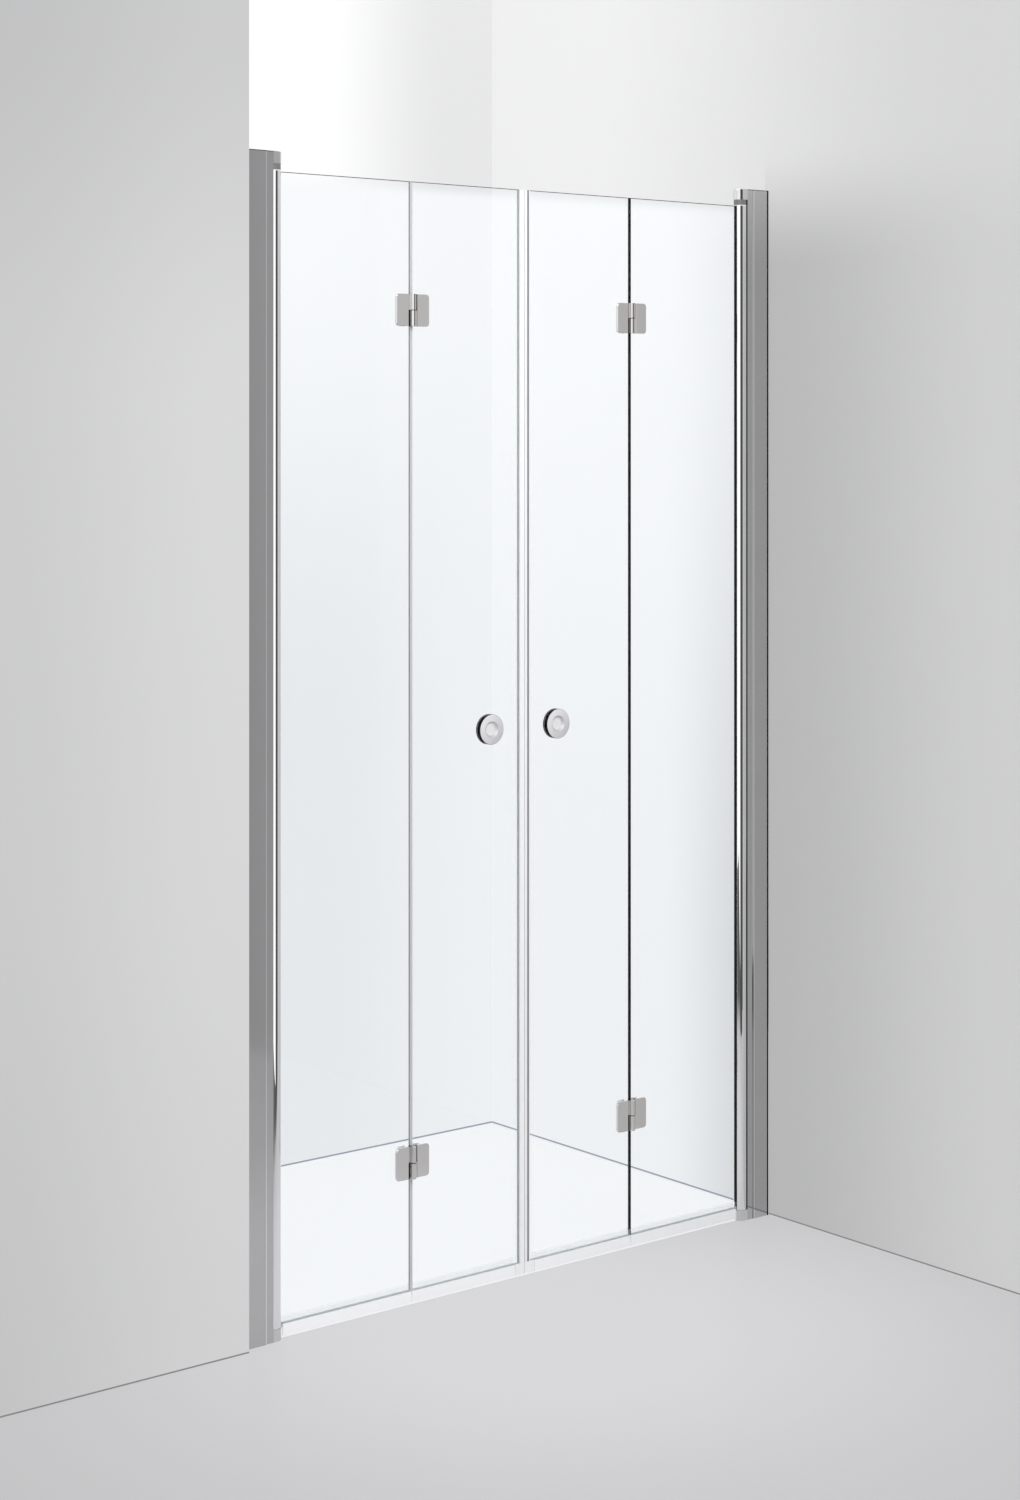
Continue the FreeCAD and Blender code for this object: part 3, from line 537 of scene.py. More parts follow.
@dataclass(frozen=True)
class ClearGlass(Finish):
    """Clear toughened glass: faces that let the view through and mirror a little, and ground edges.

    The edge in the sealed range, out from the doorway's middle, is covered by its seal and stays clear.
    """

    tint: Colour
    upright_edge: Colour
    level_edge: Colour
    sealed: Limits
    normal_reflection: float = 0.028
    edge_gloss: float = 0.5
    edge_roughness: float = 0.12
    edge_mottle: float = 0.3
    grinding_per_metre: float = 1800.0
    grinding_depth: float = 4e-6
    grinding_roughness: float = 0.2
    face_limit: float = 0.9
    level_limit: float = 0.5
    patches: tuple[Patch, ...] = ()

    def shade(self, sheet: NodeSheet) -> Value:
        """Faces and edges told apart by the panel's own normal, as in Finish.shade.

        An upright edge that is seen through the glass from within stays clear.
        A face mirrors by Schlick's rule: its reflection straight on, plus the rest times the fifth power of
        one less the cosine of the viewing angle.
        """
        away = sheet.node("ShaderNodeLayerWeight", None, {"Blend": 0.5}, output="Facing")
        mirror = self.normal_reflection + (1 - self.normal_reflection) * away ** SCHLICK_POWER
        through = sheet.node("ShaderNodeBsdfTransparent", None, {"Color": (*self.tint, 1.0)})
        gloss = sheet.node("ShaderNodeBsdfGlossy", None, {"Color": WHITE, "Roughness": 0.0})
        face = sheet.blend(mirror, through, gloss)
        grinding = sheet.noise(self.grinding_per_metre, Run.UPRIGHT, detail=FINE_DETAIL)
        level = abs(sheet.facing[2])
        tone = sheet.tint(level + self.edge_mottle * (grinding - 0.5), self.upright_edge, self.level_edge)
        edge = sheet.principled({
            "Base Color": sheet.patched(tone, self.patches),
            "Roughness": self.edge_roughness + self.grinding_roughness * grinding,
            "Specular IOR Level": self.edge_gloss,
            "Normal": sheet.bump(grinding, self.grinding_depth),
        })
        from_within = sheet.node("ShaderNodeNewGeometry", output="Backfacing") * (level < self.level_limit)
        out = abs(sheet.axes[0])
        under_seal = (out > self.sealed[0]) * (out < self.sealed[1])
        is_edge = (abs(sheet.facing[1]) < self.face_limit) * (1 - from_within) * (1 - under_seal)
        return sheet.blend(is_edge, face, edge)


@dataclass(frozen=True)
class Wash:
    """A smooth run from one colour, or wash, to another, along a numbered axis or outwards from a point."""

    first: "Colour | Wash"
    second: "Colour | Wash"
    run: int | Point
    start: float
    end: float
    mottle: float = 0.06
    mottle_per_metre: float = 3.0

    def tone(self, sheet: NodeSheet) -> Value:
        """The wash's colour over a surface.

        Args:
            sheet: The node sheet to build it on.

        Returns:
            The colour, with a faint mottle.
        """
        place = sheet.axes[self.run] if isinstance(self.run, int) else sheet.distance(self.run)
        mottle = self.mottle * (sheet.noise(self.mottle_per_metre) - 0.5)
        share = sheet.ramp(place, self.start, self.end) + mottle
        ends = (end.tone(sheet) if isinstance(end, Wash) else end for end in (self.first, self.second))
        return sheet.tint(share, *ends)


@dataclass(frozen=True)
class PaintedLightBackdrop(Finish):
    """A studio wall's or floor's colour, whose washes paint light and shade on it, and which may pass into
    another wash high up or show a painted reflection in mirrors.
    """

    wash: Wash
    roughness: float = 0.7
    mirrored: Wash | None = None
    high_wash: Wash | None = None
    high_start: float = 1.895
    high_end: float = 1.925
    high_tilt: float = 0.0
    own_light: float = 0.85
    gloss: float = 0.4
    one_sided: bool = True
    patches: tuple[Patch, ...] = ()

    def tone(self, sheet: NodeSheet) -> Value:
        """The paint's colour over the surface.

        Args:
            sheet: The node sheet to build it on.

        Returns:
            The colour.
        """
        tone = self.wash.tone(sheet)
        # Painted reflection: glossy rays see the mirrored wash in place of the surface's own.
        if self.mirrored is not None:
            tone = sheet.tint(sheet.ray("Glossy"), tone, self.mirrored.tone(sheet))
        tone = sheet.patched(tone, self.patches)
        if self.high_wash is None:
            return tone
        _, y, z = sheet.axes
        rise = sheet.ramp(z - self.high_tilt * y, self.high_start, self.high_end)
        return sheet.tint(rise, tone, self.high_wash.tone(sheet))

    def shade(self, sheet: NodeSheet) -> Value:
        """Paint that is mostly its own light where it is seen or mirrored, as in Finish.shade.

        A wall is clear from behind.
        """
        tone = self.tone(sheet)
        paint = sheet.principled({"Base Color": tone, "Roughness": self.roughness,
                                  "Specular IOR Level": self.gloss})
        seen = sum(sheet.ray(kind) for kind in ("Camera", "Glossy", "Transmission"))
        glow = sheet.node("ShaderNodeEmission", None, {"Color": tone, "Strength": 1.0})
        shown = sheet.blend(self.own_light * seen.maths("MINIMUM", seen, 1.0), paint, glow)
        if not self.one_sided:
            return shown
        behind = sheet.node("ShaderNodeNewGeometry", output="Backfacing")
        return sheet.blend(behind, shown, sheet.node("ShaderNodeBsdfTransparent"))


@dataclass(frozen=True)
class GlowingCard(Finish):
    """A studio card that shows only in reflections."""

    level: float

    def shade(self, sheet: NodeSheet) -> Value:
        """Even light, as in Finish.shade."""
        return sheet.node("ShaderNodeEmission", None, {"Color": WHITE, "Strength": self.level})


class Workshop:
    """Makes each finish's material once and puts it on objects."""

    def __init__(self, nodes: Mapping[str, bpy.types.Object]) -> None:
        """Keeps the CAD nodes.

        Args:
            nodes: The frame's CAD node objects by name.
        """
        self.nodes = nodes
        self.made: dict[Finish, bpy.types.Material] = {}

    def material(self, finish: Finish) -> bpy.types.Material:
        """A finish's material.

        Args:
            finish: The finish.

        Returns:
            The one material that was made for it.
        """
        if finish not in self.made:
            self.made[finish] = finish.material()
        return self.made[finish]

    def coat(self, piece: bpy.types.Object, finish: Finish) -> bpy.types.Object:
        """Puts a finish on an object.

        Args:
            piece: The object.
            finish: Its finish.

        Returns:
            The object.
        """
        if not piece.material_slots:
            piece.data.materials.append(self.material(finish))
        for material_slot in piece.material_slots:
            material_slot.material = self.material(finish)
        log.info("%s: %s", piece.name, finish.name)
        return piece

    def coat_node(self, node: str, finish: Finish) -> bpy.types.Object:
        """Puts a finish on a CAD node.

        Args:
            node: The node's name.
            finish: Its finish.

        Returns:
            The node's object.
        """
        return self.coat(self.nodes[node], finish)


# Surfaces

SHORTEST_EDGE = 1e-9
SAME_POINT = 1e-7


def rounded(corners: np.ndarray, cuts: np.ndarray, steps: int) -> np.ndarray:
    """A polyline with rounded corners.

    Each corner is replaced by the quadratic curve (1-u)^2 a + 2u(1-u) c + u^2 b, where c is the corner,
    and a and b lie the corner's cut before and after it along the two edges.

    Args:
        corners: The corners, one row each.
        cuts: How far from its corner each curve starts; zero keeps a corner sharp.
        steps: Points per curve.

    Returns:
        The points of the rounded line, one row each.
    """
    before = np.roll(corners, 1, axis=0) - corners
    after = np.roll(corners, -1, axis=0) - corners
    before[0] = after[-1] = 0.0
    lengths = [np.maximum(np.linalg.norm(edge, axis=1, keepdims=True), SHORTEST_EDGE)
               for edge in (before, after)]
    start = corners + before / lengths[0] * cuts[:, None]
    end = corners + after / lengths[1] * cuts[:, None]
    share = np.linspace(0.0, 1.0, steps)[None, :, None]
    curve = ((1 - share) ** 2 * start[:, None] + 2 * share * (1 - share) * corners[:, None]
             + share ** 2 * end[:, None])
    points = curve.reshape(-1, 2)
    keep = np.concatenate([[True], np.linalg.norm(np.diff(points, axis=0), axis=1) > SAME_POINT])
    return points[keep]


def turned(name: str, profile: np.ndarray, axis: Point, outward: float, around: int) -> bpy.types.Object:
    """A closed solid turned about an axis along Y.

    The profile's rows are radius r and distance d out from the axis point.
    Its first and last rows are on the axis.
    At angle a the surface is (x + r cos a, y + outward d, z + r sin a).

    Args:
        name: The piece's name.
        profile: The radii and distances.
        axis: The axis point.
        outward: The sign of Y that the distances go.
        around: Steps round the axis.

    Returns:
        The new object.
    """
    angle = np.linspace(0.0, 2 * np.pi, around, endpoint=False)[None, :]
    radius = profile[1:-1, :1]
    rings = np.stack([
        axis[0] + radius * np.cos(angle),
        axis[1] + outward * profile[1:-1, 1:] + 0.0 * angle,
        axis[2] + radius * np.sin(angle),
    ], axis=-1)
    tips = np.array([[axis[0], axis[1] + outward * out, axis[2]] for out in profile[[0, -1], 1]])
    points = np.concatenate([rings.reshape(-1, 3), tips])
    count = len(radius)
    index = np.arange(count * around).reshape(count, around)
    beside = np.roll(index, -1, axis=1)
    quads = np.stack([index[:-1], index[1:], beside[1:], beside[:-1]], axis=-1).reshape(-1, 4)
    first = np.stack([np.full(around, count * around), index[0], beside[0]], axis=-1)
    last = np.stack([np.full(around, count * around + 1), beside[-1], index[-1]], axis=-1)
    if outward > 0:
        quads, first, last = quads[:, ::-1], first[:, ::-1], last[:, ::-1]
    mesh = bpy.data.meshes.new(name)
    mesh.from_pydata(points.tolist(), [], quads.tolist() + first.tolist() + last.tolist())
    mesh.polygons.foreach_set("use_smooth", np.ones(len(mesh.polygons), dtype=bool))
    mesh.update()
    piece = bpy.data.objects.new(name, mesh)
    bpy.context.collection.objects.link(piece)
    return piece


def flat_sheet(name: str, corner: Point, along: Point, up: Point, cells: int = 8) -> bpy.types.Object:
    """A flat sheet: corner + s along + t up, for s and t from 0 to 1; it faces along cross up.

    Args:
        name: The sheet's name.
        corner: Its first corner.
        along: Its first edge.
        up: Its second edge.
        cells: Cells along each edge.

    Returns:
        The new object.
    """
    steps = np.linspace(0.0, 1.0, cells + 1)
    first, second = np.meshgrid(steps, steps, indexing="ij")
    points = np.array(corner) + first[..., None] * np.array(along) + second[..., None] * np.array(up)
    index = np.arange((cells + 1) ** 2).reshape(cells + 1, cells + 1)
    quads = np.stack([index[:-1, :-1], index[1:, :-1], index[1:, 1:], index[:-1, 1:]], axis=-1)
    mesh = bpy.data.meshes.new(name)
    mesh.from_pydata(points.reshape(-1, 3).tolist(), [], quads.reshape(-1, 4).tolist())
    mesh.update()
    sheet = bpy.data.objects.new(name, mesh)
    bpy.context.collection.objects.link(sheet)
    return sheet


# The finishes of this screen

SCREEN_TOP = 1.95
GLASS_FOOT = 0.024
FOLD_OUT = 0.250
HINGE_HEIGHTS = (0.244, 1.698)
HINGE_HALF_HEIGHT = 0.0275
KNUCKLE_POCKET = 0.0092
KNUCKLE_RADIUS = 0.0056
KNUCKLE_JOINT = 0.0007
FINE_LINES = 5e-7
# Near-black painted shade, laid where shade falls in grooves, nests and gaps, and behind the hinges.
PAINTED_SHADE = (0.02, 0.02, 0.022)
# A dark line along the profiles' cut top ends: part the cut edge, part painted shade.
CUT_END_SHADE = Patch((0.2, 0.2, 0.2), z=(SCREEN_TOP - 0.0015, SCREEN_TOP + 0.001))
POLISHED_PROFILE = BrightMetal("polished_profile", (0.585, 0.585, 0.59), 0.06, line_roughness=0.05)
LIP_START, LIP_EDGE, LIP_END = 0.5525, 0.5533, 0.5550
GROOVE_START, GROOVE_END, BEAD_END = 0.5882, 0.5903, 0.5970
# Painted light on the wall channel: a painted highlight along the lip's edge and a fainter one on its end,
# painted shade in the groove by the wall, and a painted highlight on the rounded bead.
WALL_PROFILE = replace(POLISHED_PROFILE, name="polished_wall_channel", patches=(
    Patch((0.8, 0.8, 0.805), out=(LIP_EDGE, LIP_END)),
    Patch((0.62, 0.62, 0.625), out=(LIP_START, LIP_EDGE)),
    CUT_END_SHADE,
    Patch(PAINTED_SHADE, out=(GROOVE_START, GROOVE_END)),
    Patch((0.97, 0.97, 0.97), out=(GROOVE_END, BEAD_END)),
))
# Painted shade in the jamb's nest round the column, besides the cut-end line.
NEST_PROFILE = replace(POLISHED_PROFILE, name="polished_jamb", patches=(
    CUT_END_SHADE,
    Patch(PAINTED_SHADE, out=(0.5150, 0.5455), y=(-0.0117, 0.0117)),
))
BRIGHT_TUBE = BrightMetal("bright_polished_tube", (0.92, 0.92, 0.93), 0.02, line_roughness=0.03,
                          line_depth=FINE_LINES)
PLATED_FITTING = BrightMetal("plated_fitting", (0.74, 0.74, 0.735), 0.03, line_roughness=0.05,
                             line_depth=FINE_LINES, lines_per_metre=500.0, run=Run.NONE)
# Painted shade on the hinge leaves: a dark strip in the pocket beside each knuckle, and a dark line across
# the knuckles where they meet.
HINGE_LEAF = replace(PLATED_FITTING, name="plated_hinge_leaf", colour=(0.745, 0.73, 0.72), patches=(
    Patch(PAINTED_SHADE, out=about(FOLD_OUT, KNUCKLE_POCKET), y=(-0.0064, 0.0)),
    *(Patch(PAINTED_SHADE, out=about(FOLD_OUT, KNUCKLE_RADIUS), z=about(height, KNUCKLE_JOINT))
      for height in HINGE_HEIGHTS),
))
STEEL_FASTENER = BrightMetal("steel_fastener", (0.55, 0.55, 0.56), 0.25, run=Run.NONE, lines_per_metre=900.0)
DARK_POLYMER = MouldedPolymer("dark_polymer", (0.17, 0.17, 0.165), 0.3)
BLACK_RUBBER = MouldedPolymer("black_rubber", (0.006, 0.006, 0.007), 0.7, gloss=0.04)
WHITE_POLYMER = MouldedPolymer("white_polymer", (0.8, 0.8, 0.79), 0.4)
MAGNET_RUBBER = MouldedPolymer("magnet_rubber", (0.84, 0.84, 0.83), 0.5)
SEAL_LENGTH = (GLASS_FOOT, SCREEN_TOP)
# Painted shade on the meeting seal: a dark line where the left panel's edge meets it, and one over the right
# magnet where the right panel's edge shows; a greyer line marks the seam between the two seals.
SEAL_SHADE_AND_SEAM_LINES = (
    Patch((0.34, 0.36, 0.36), x=(-0.0114, -0.0106), y=(-0.0009, 0.0031), z=SEAL_LENGTH),
    Patch((0.3, 0.3, 0.31), x=(0.0049, 0.0098), z=SEAL_LENGTH),
    Patch((0.82, 0.81, 0.81), out=about(0.0, 0.0012), z=SEAL_LENGTH),
)
MEETING_SEAL = ClearSeal("meeting_seal", (0.95, 0.95, 0.95), Run.UPRIGHT, Core.MIDDLE, 0.0112, leg_milk=0.05,
                         foot=GLASS_FOOT, patches=SEAL_SHADE_AND_SEAM_LINES)
SWEEP_SEAL = ClearSeal("sweep_seal", (0.98, 0.975, 0.985), Run.LEVEL, Core.LOW, 0.0235, leg_milk=0.15)
# Painted shade on the fold seals: the left seal is dark along each hinge's height, and the right seal is
# black rubber while its twin on the left is grey.
FOLD_SEALS = {
    Side.LEFT: ClearSeal("grey_fold_seal", (0.61, 0.61, 0.62), Run.UPRIGHT, Core.NOWHERE, leg_milk=0.95,
                         patches=tuple(Patch(PAINTED_SHADE, z=about(height, HINGE_HALF_HEIGHT))
                                       for height in HINGE_HEIGHTS)),
    Side.RIGHT: BLACK_RUBBER,
}
PAD_SEAL = ClearSeal("milky_pad", (0.88, 0.9, 0.91), Run.NONE, Core.NOWHERE, leg_milk=0.85)
GLASS_TINT = (0.988, 0.996, 1.0)
LEVEL_EDGE = (0.42, 0.6, 0.61)
# Painted shade on the glass edges within the top few centimetres.
TOP_EDGE_SHADE = Patch((0.06, 0.065, 0.08), z=(1.9165, SCREEN_TOP))
# Painted shade and light on the upright glass edges: the outer panels' are painted near black and the inner
# panels' light grey, though both are one glass; the level edges keep the glass's teal.
OUTER_GLASS = ClearGlass("outer_clear_glass", GLASS_TINT, (0.004, 0.006, 0.006), LEVEL_EDGE,
                         sealed=(FOLD_OUT, FOLD_OUT + 0.003), edge_gloss=0.0, patches=(TOP_EDGE_SHADE,))
INNER_GLASS = ClearGlass("inner_clear_glass", GLASS_TINT, (0.66, 0.68, 0.69), LEVEL_EDGE,
                         sealed=(0.0, 0.0115), patches=(TOP_EDGE_SHADE,))


# Sub-assemblies


@dataclass
class WallFrame:
    """The wall channels, the jambs that slide in them and the screws that clamp them."""

    def dress(self, shop: Workshop) -> None:
        """Gives the profiles and screws their finishes.

        Args:
            shop: The workshop.
        """
        shop.coat_node("clamp_screws", STEEL_FASTENER)
        for side in Side:
            shop.coat_node(side.node("wall_channel"), WALL_PROFILE)
            shop.coat_node(side.node("jamb_profile"), NEST_PROFILE)


@dataclass
class PivotColumn:
    """One door's round column with the blocks, collar, pins and bushes that it turns in."""

    side: Side

    def dress(self, shop: Workshop) -> None:
        """Gives the column's parts their finishes.

        Args:
            shop: The workshop.
        """
        finishes = {
            "column": BRIGHT_TUBE,
            "head_block": PLATED_FITTING,
            "foot_block": PLATED_FITTING,
            "collar": DARK_POLYMER,
            "column_bushes": WHITE_POLYMER,
            "column_gasket": BLACK_RUBBER,
            "block_screws": STEEL_FASTENER,
            "pivot_pins": STEEL_FASTENER,
        }
        for part, finish in finishes.items():
            shop.coat_node(self.side.node(part), finish)


@dataclass
class GlassLeaves:
    """One door's two panels and the seals along their edges."""

    side: Side

    def dress(self, shop: Workshop) -> None:
        """Gives the panels and seals their finishes.

        Args:
            shop: The workshop.
        """
        finishes = {
            "outer_glass": OUTER_GLASS,
            "inner_glass": INNER_GLASS,
            "outer_sweep": SWEEP_SEAL,
            "inner_sweep": SWEEP_SEAL,
            "fold_seal": FOLD_SEALS[self.side],
            "magnet_seal": MEETING_SEAL,
            "magnet_strip": MAGNET_RUBBER,
        }
        for part, finish in finishes.items():
            shop.coat_node(self.side.node(part), finish)


@dataclass
class FoldHinges:
    """The two hinges that fold one door's panels."""

    side: Side

    def dress(self, shop: Workshop) -> None:
        """Gives the hinges' parts their finishes.

        Args:
            shop: The workshop.
        """
        for panel in ("outer", "inner"):
            shop.coat_node(self.side.node(f"{panel}_hinge_leaves"), HINGE_LEAF)
            shop.coat_node(self.side.node(f"{panel}_back_plates"), PLATED_FITTING)
            shop.coat_node(self.side.node(f"{panel}_hinge_pads"), PAD_SEAL)
            shop.coat_node(self.side.node(f"{panel}_hinge_screws"), STEEL_FASTENER)
        shop.coat_node(self.side.node("hinge_pins"), STEEL_FASTENER)


@dataclass
class FingerPull:
    """One door's dished ring pull, in metres: two rings that meet through the glass."""

    side: Side
    from_middle: float = 0.076
    height: float = 0.970
    rim_radius: float = 0.0265
    face: float = 0.006
    back: float = 0.0034
    dish_radius: float = 0.0144
    dish_floor_radius: float = 0.0106
    dish_depth: float = 0.0048
    dish_floor: float = 0.0016
    tube_radius: float = 0.016
    tube_wall: float = 0.002
    tube_end: float = -0.0026
    inner_dish_radius: float = 0.013
    inner_floor_radius: float = 0.0105
    inner_dish_depth: float = 0.003
    play: float = 5e-5
    floor_round: float = 0.0018
    edge_round: float = 0.0009
    seat_round: float = 0.0003
    hidden_round: float = 0.0002
    inner_floor_round: float = 0.0014
    inner_edge_round: float = 0.0008
    rim_shade_band: float = 0.0005
    round_steps: int = 9
    around: int = 160
    finish: Finish = field(init=False)

    def __post_init__(self) -> None:
        """Sets the turned finish about this pull's axis."""
        # The pale and deep tones are a painted sheen, the wall colour is painted shade, and the rim band is
        # painted black as shade.
        self.finish = TurnedMetal(
            self.side.node("turned_satin_pull"), pale=(0.91, 0.9, 0.915), deep=(0.62, 0.61, 0.625),
            dish_wall_shade=(0.6, 0.59, 0.6), roughness=0.24, axis=self.axis,
            dish_wall=(self.dish_floor_radius, self.dish_radius), rim_radius=self.rim_radius - self.rim_shade_band)

    @property
    def axis(self) -> Point:
        """The point where the pull's axis meets the glass's middle plane."""
        return (self.side.value * self.from_middle, 0.0, self.height)

    def outer_profile(self) -> np.ndarray:
        """The dry side's ring with its tube, as radii and distances out from the glass's middle plane.

        Returns:
            The rounded profile, from the dish's middle round to the tube's middle.
        """
        floor_back = self.face - self.dish_depth - self.dish_floor
        bore = self.tube_radius - self.tube_wall
        rows = np.array([
            (0.0, self.face - self.dish_depth, 0.0),
            (self.dish_floor_radius, self.face - self.dish_depth, self.floor_round),
            (self.dish_radius, self.face, self.edge_round),
            (self.rim_radius, self.face, self.edge_round),
            (self.rim_radius, self.back, self.seat_round),
            (self.tube_radius, self.back, self.hidden_round),
            (self.tube_radius, self.tube_end, self.hidden_round),
            (bore, self.tube_end, self.hidden_round),
            (bore, floor_back, self.hidden_round),
            (0.0, floor_back, 0.0),
        ])
        return rounded(rows[:, :2], rows[:, 2], self.round_steps)

    def inner_profile(self) -> np.ndarray:
        """The shower side's ring with its plug, as radii and distances out from the glass's middle plane.

        Returns:
            The rounded profile, from the dish's middle round to the plug's end.
        """
        plug = self.tube_radius - self.tube_wall - self.play
        plug_end = self.play - (self.face - self.dish_depth - self.dish_floor)
        rows = np.array([
            (0.0, self.face - self.inner_dish_depth, 0.0),
            (self.inner_floor_radius, self.face - self.inner_dish_depth, self.inner_floor_round),
            (self.inner_dish_radius, self.face, self.inner_edge_round),
            (self.rim_radius, self.face, self.edge_round),
            (self.rim_radius, self.back, self.seat_round),
            (plug, self.back, self.hidden_round),
            (plug, plug_end, self.hidden_round),
            (0.0, plug_end, 0.0),
        ])
        return rounded(rows[:, :2], rows[:, 2], self.round_steps)

    def build(self, shop: Workshop) -> None:
        """Makes both rings in place of their CAD nodes and dresses them and their washers.

        Args:
            shop: The workshop.
        """
        for ring, profile, outward in (("outer_pull", self.outer_profile(), -1.0),
                                       ("inner_pull", self.inner_profile(), 1.0)):
            piece = turned(self.side.node(f"{ring}_turned"), profile, self.axis, outward, self.around)
            shop.coat(piece, self.finish)
            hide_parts(self.side.node(ring))
            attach(piece, self.side.node("inner_leaf"))
        shop.coat_node(self.side.node("pull_washers"), BLACK_RUBBER)


# The studio

NICHE_HALF = 0.597
BEHIND_SCREEN = (0.0, 0.836)
UNDER_FLOOR = -0.001
TRAY_WHITE = (0.955, 0.96, 0.965)
TRAY = Patch(TRAY_WHITE, out=about(0.0, NICHE_HALF), y=BEHIND_SCREEN)
ROOM_JOINT = Patch((0.24, 0.24, 0.25), z=(UNDER_FLOOR, 0.0025))
SHOWER_JOINT = (
    Patch((0.3, 0.34, 0.42), z=(UNDER_FLOOR, 0.0075)),
    Patch(TRAY_WHITE, z=(UNDER_FLOOR, 0.0042)),
)
# Painted light on the floor: a pool of light about this point that darkens far off, and a painted
# reflection, darkest far to the left, that only mirrors see.
POOL = (-0.12, -0.22, 0.0)
NEAR_FLOOR = Wash((0.69, 0.685, 0.7), (0.575, 0.57, 0.58), POOL, 0.2, 1.0)
FAR_LEFT_REFLECTED_SHADE = Wash((0.08, 0.08, 0.082), (0.55, 0.55, 0.555), ACROSS, -0.5, 0.0)
# Painted light: the wall over the screen grows lighter deeper in.
OVER_SCREEN = Wash((0.66, 0.66, 0.665), (0.85, 0.85, 0.85), INWARD, -0.55, 0.55)
SHOWER_TILT = 0.11


def left_wash(far: Colour, near: Colour) -> Wash:
    """A wash along the left wall, from far off to near the door."""
    return Wash(far, near, ACROSS, -1.1, -0.6)


def side_wash(near: Colour, deep: Colour) -> Wash:
    """A wash along the shower's right wall, from near the door to deep inside."""
    return Wash(near, deep, INWARD, 0.02, 0.3)


def floor_wash(far: Colour | Wash) -> Wash:
    """A wash over the floor, from a painted pool of light to far off."""
    return Wash(NEAR_FLOOR, far, POOL, 0.85, 1.45)


@dataclass
class Niche:
    """The floor and walls round the screen, in metres, which are not part of it, with light and shade
    painted into their washes.
    """

    half_width: float = NICHE_HALF
    wall_front: float = -0.028
    depth: float = 0.8335
    height: float = 2.7
    right_wall_far: float = -1.25
    right_wall_end: float = -1.9
    reach: float = 3.5
    floor_half: float = 7.0
    # Painted light and shade: the walls' washes make the left front wall lighter near the door and darker
    # high up, the shower's inside brighter deeper in and at the top left, and the right wall darker towards
    # the screen.
    left_paint: Finish = PaintedLightBackdrop(
        "left_paint",
        Wash(left_wash((0.555, 0.555, 0.56), (0.645, 0.645, 0.65)),
             left_wash((0.585, 0.585, 0.59), (0.675, 0.675, 0.68)), UPWARD, 0.0, 0.8),
        high_wash=left_wash((0.505, 0.505, 0.51), (0.575, 0.575, 0.58)), high_start=1.5, high_end=2.2,
        patches=(ROOM_JOINT,))
    shower_paint: Finish = PaintedLightBackdrop(
        "shower_paint",
        Wash(Wash((0.85, 0.86, 0.87), (0.905, 0.915, 0.925), ACROSS, 0.15, 0.6),
             Wash((0.96, 0.965, 0.97), (0.93, 0.935, 0.94), ACROSS, 0.1, 0.55), UPWARD, 0.9, 1.85),
        high_wash=Wash((1.0, 1.0, 1.0), (0.78, 0.78, 0.785), ACROSS, 0.08, 0.48), high_tilt=SHOWER_TILT,
        patches=SHOWER_JOINT)
    side_paint: Finish = PaintedLightBackdrop(
        "side_paint",
        Wash(side_wash((0.715, 0.725, 0.735), (0.925, 0.934, 0.944)),
             side_wash((0.886, 0.893, 0.9), (0.975, 0.98, 0.985)), UPWARD, 0.45, 1.75),
        high_wash=OVER_SCREEN, high_tilt=SHOWER_TILT, patches=SHOWER_JOINT)
    right_paint: Finish = PaintedLightBackdrop(
        "right_paint", Wash((0.62, 0.62, 0.62), (0.495, 0.495, 0.495), INWARD, -0.62, -0.05),
        high_wash=OVER_SCREEN, high_start=1.79, high_end=2.04, patches=(ROOM_JOINT,))
    far_paint: Finish = PaintedLightBackdrop(
        "far_paint", Wash((0.47, 0.47, 0.475), (0.49, 0.49, 0.49), INWARD, right_wall_end, right_wall_far),
        patches=(ROOM_JOINT,))
    floor_paint: Finish = PaintedLightBackdrop(
        "floor_paint", floor_wash((0.5, 0.5, 0.505)), roughness=0.3, mirrored=floor_wash(FAR_LEFT_REFLECTED_SHADE),
        one_sided=False, patches=(TRAY,))

    def build(self, shop: Workshop) -> None:
        """Makes the floor and the walls, which face the room and cast no shadow.

        Args:
            shop: The workshop.
        """
        up = (0.0, 0.0, self.height)
        left, right = -self.half_width, self.half_width
        front, back = self.wall_front, self.depth
        far, end = self.right_wall_far, self.right_wall_end
        walls = {
            "left_front_wall": (self.left_paint, (left - self.reach, front, 0.0), (self.reach, 0.0, 0.0)),
            "left_reveal": (self.shower_paint, (left, front, 0.0), (0.0, back - front, 0.0)),
            "back_wall": (self.shower_paint, (left, back, 0.0), (right - left, 0.0, 0.0)),
            "right_shower_wall": (self.side_paint, (right, back, 0.0), (0.0, -back, 0.0)),
            "right_wall": (self.right_paint, (right, 0.0, 0.0), (0.0, far, 0.0)),
            "right_wall_far": (self.far_paint, (right, far, 0.0), (0.0, end - far, 0.0)),
        }
        for name, (paint, corner, along) in walls.items():
            wall = shop.coat(flat_sheet(name, corner, along, up), paint)
            wall.visible_shadow = False
        span = 2 * self.floor_half
        floor = flat_sheet("floor", (-self.floor_half, -self.floor_half, 0.0), (span, 0.0, 0.0),
                           (0.0, span, 0.0))
        shop.coat(floor, self.floor_paint)


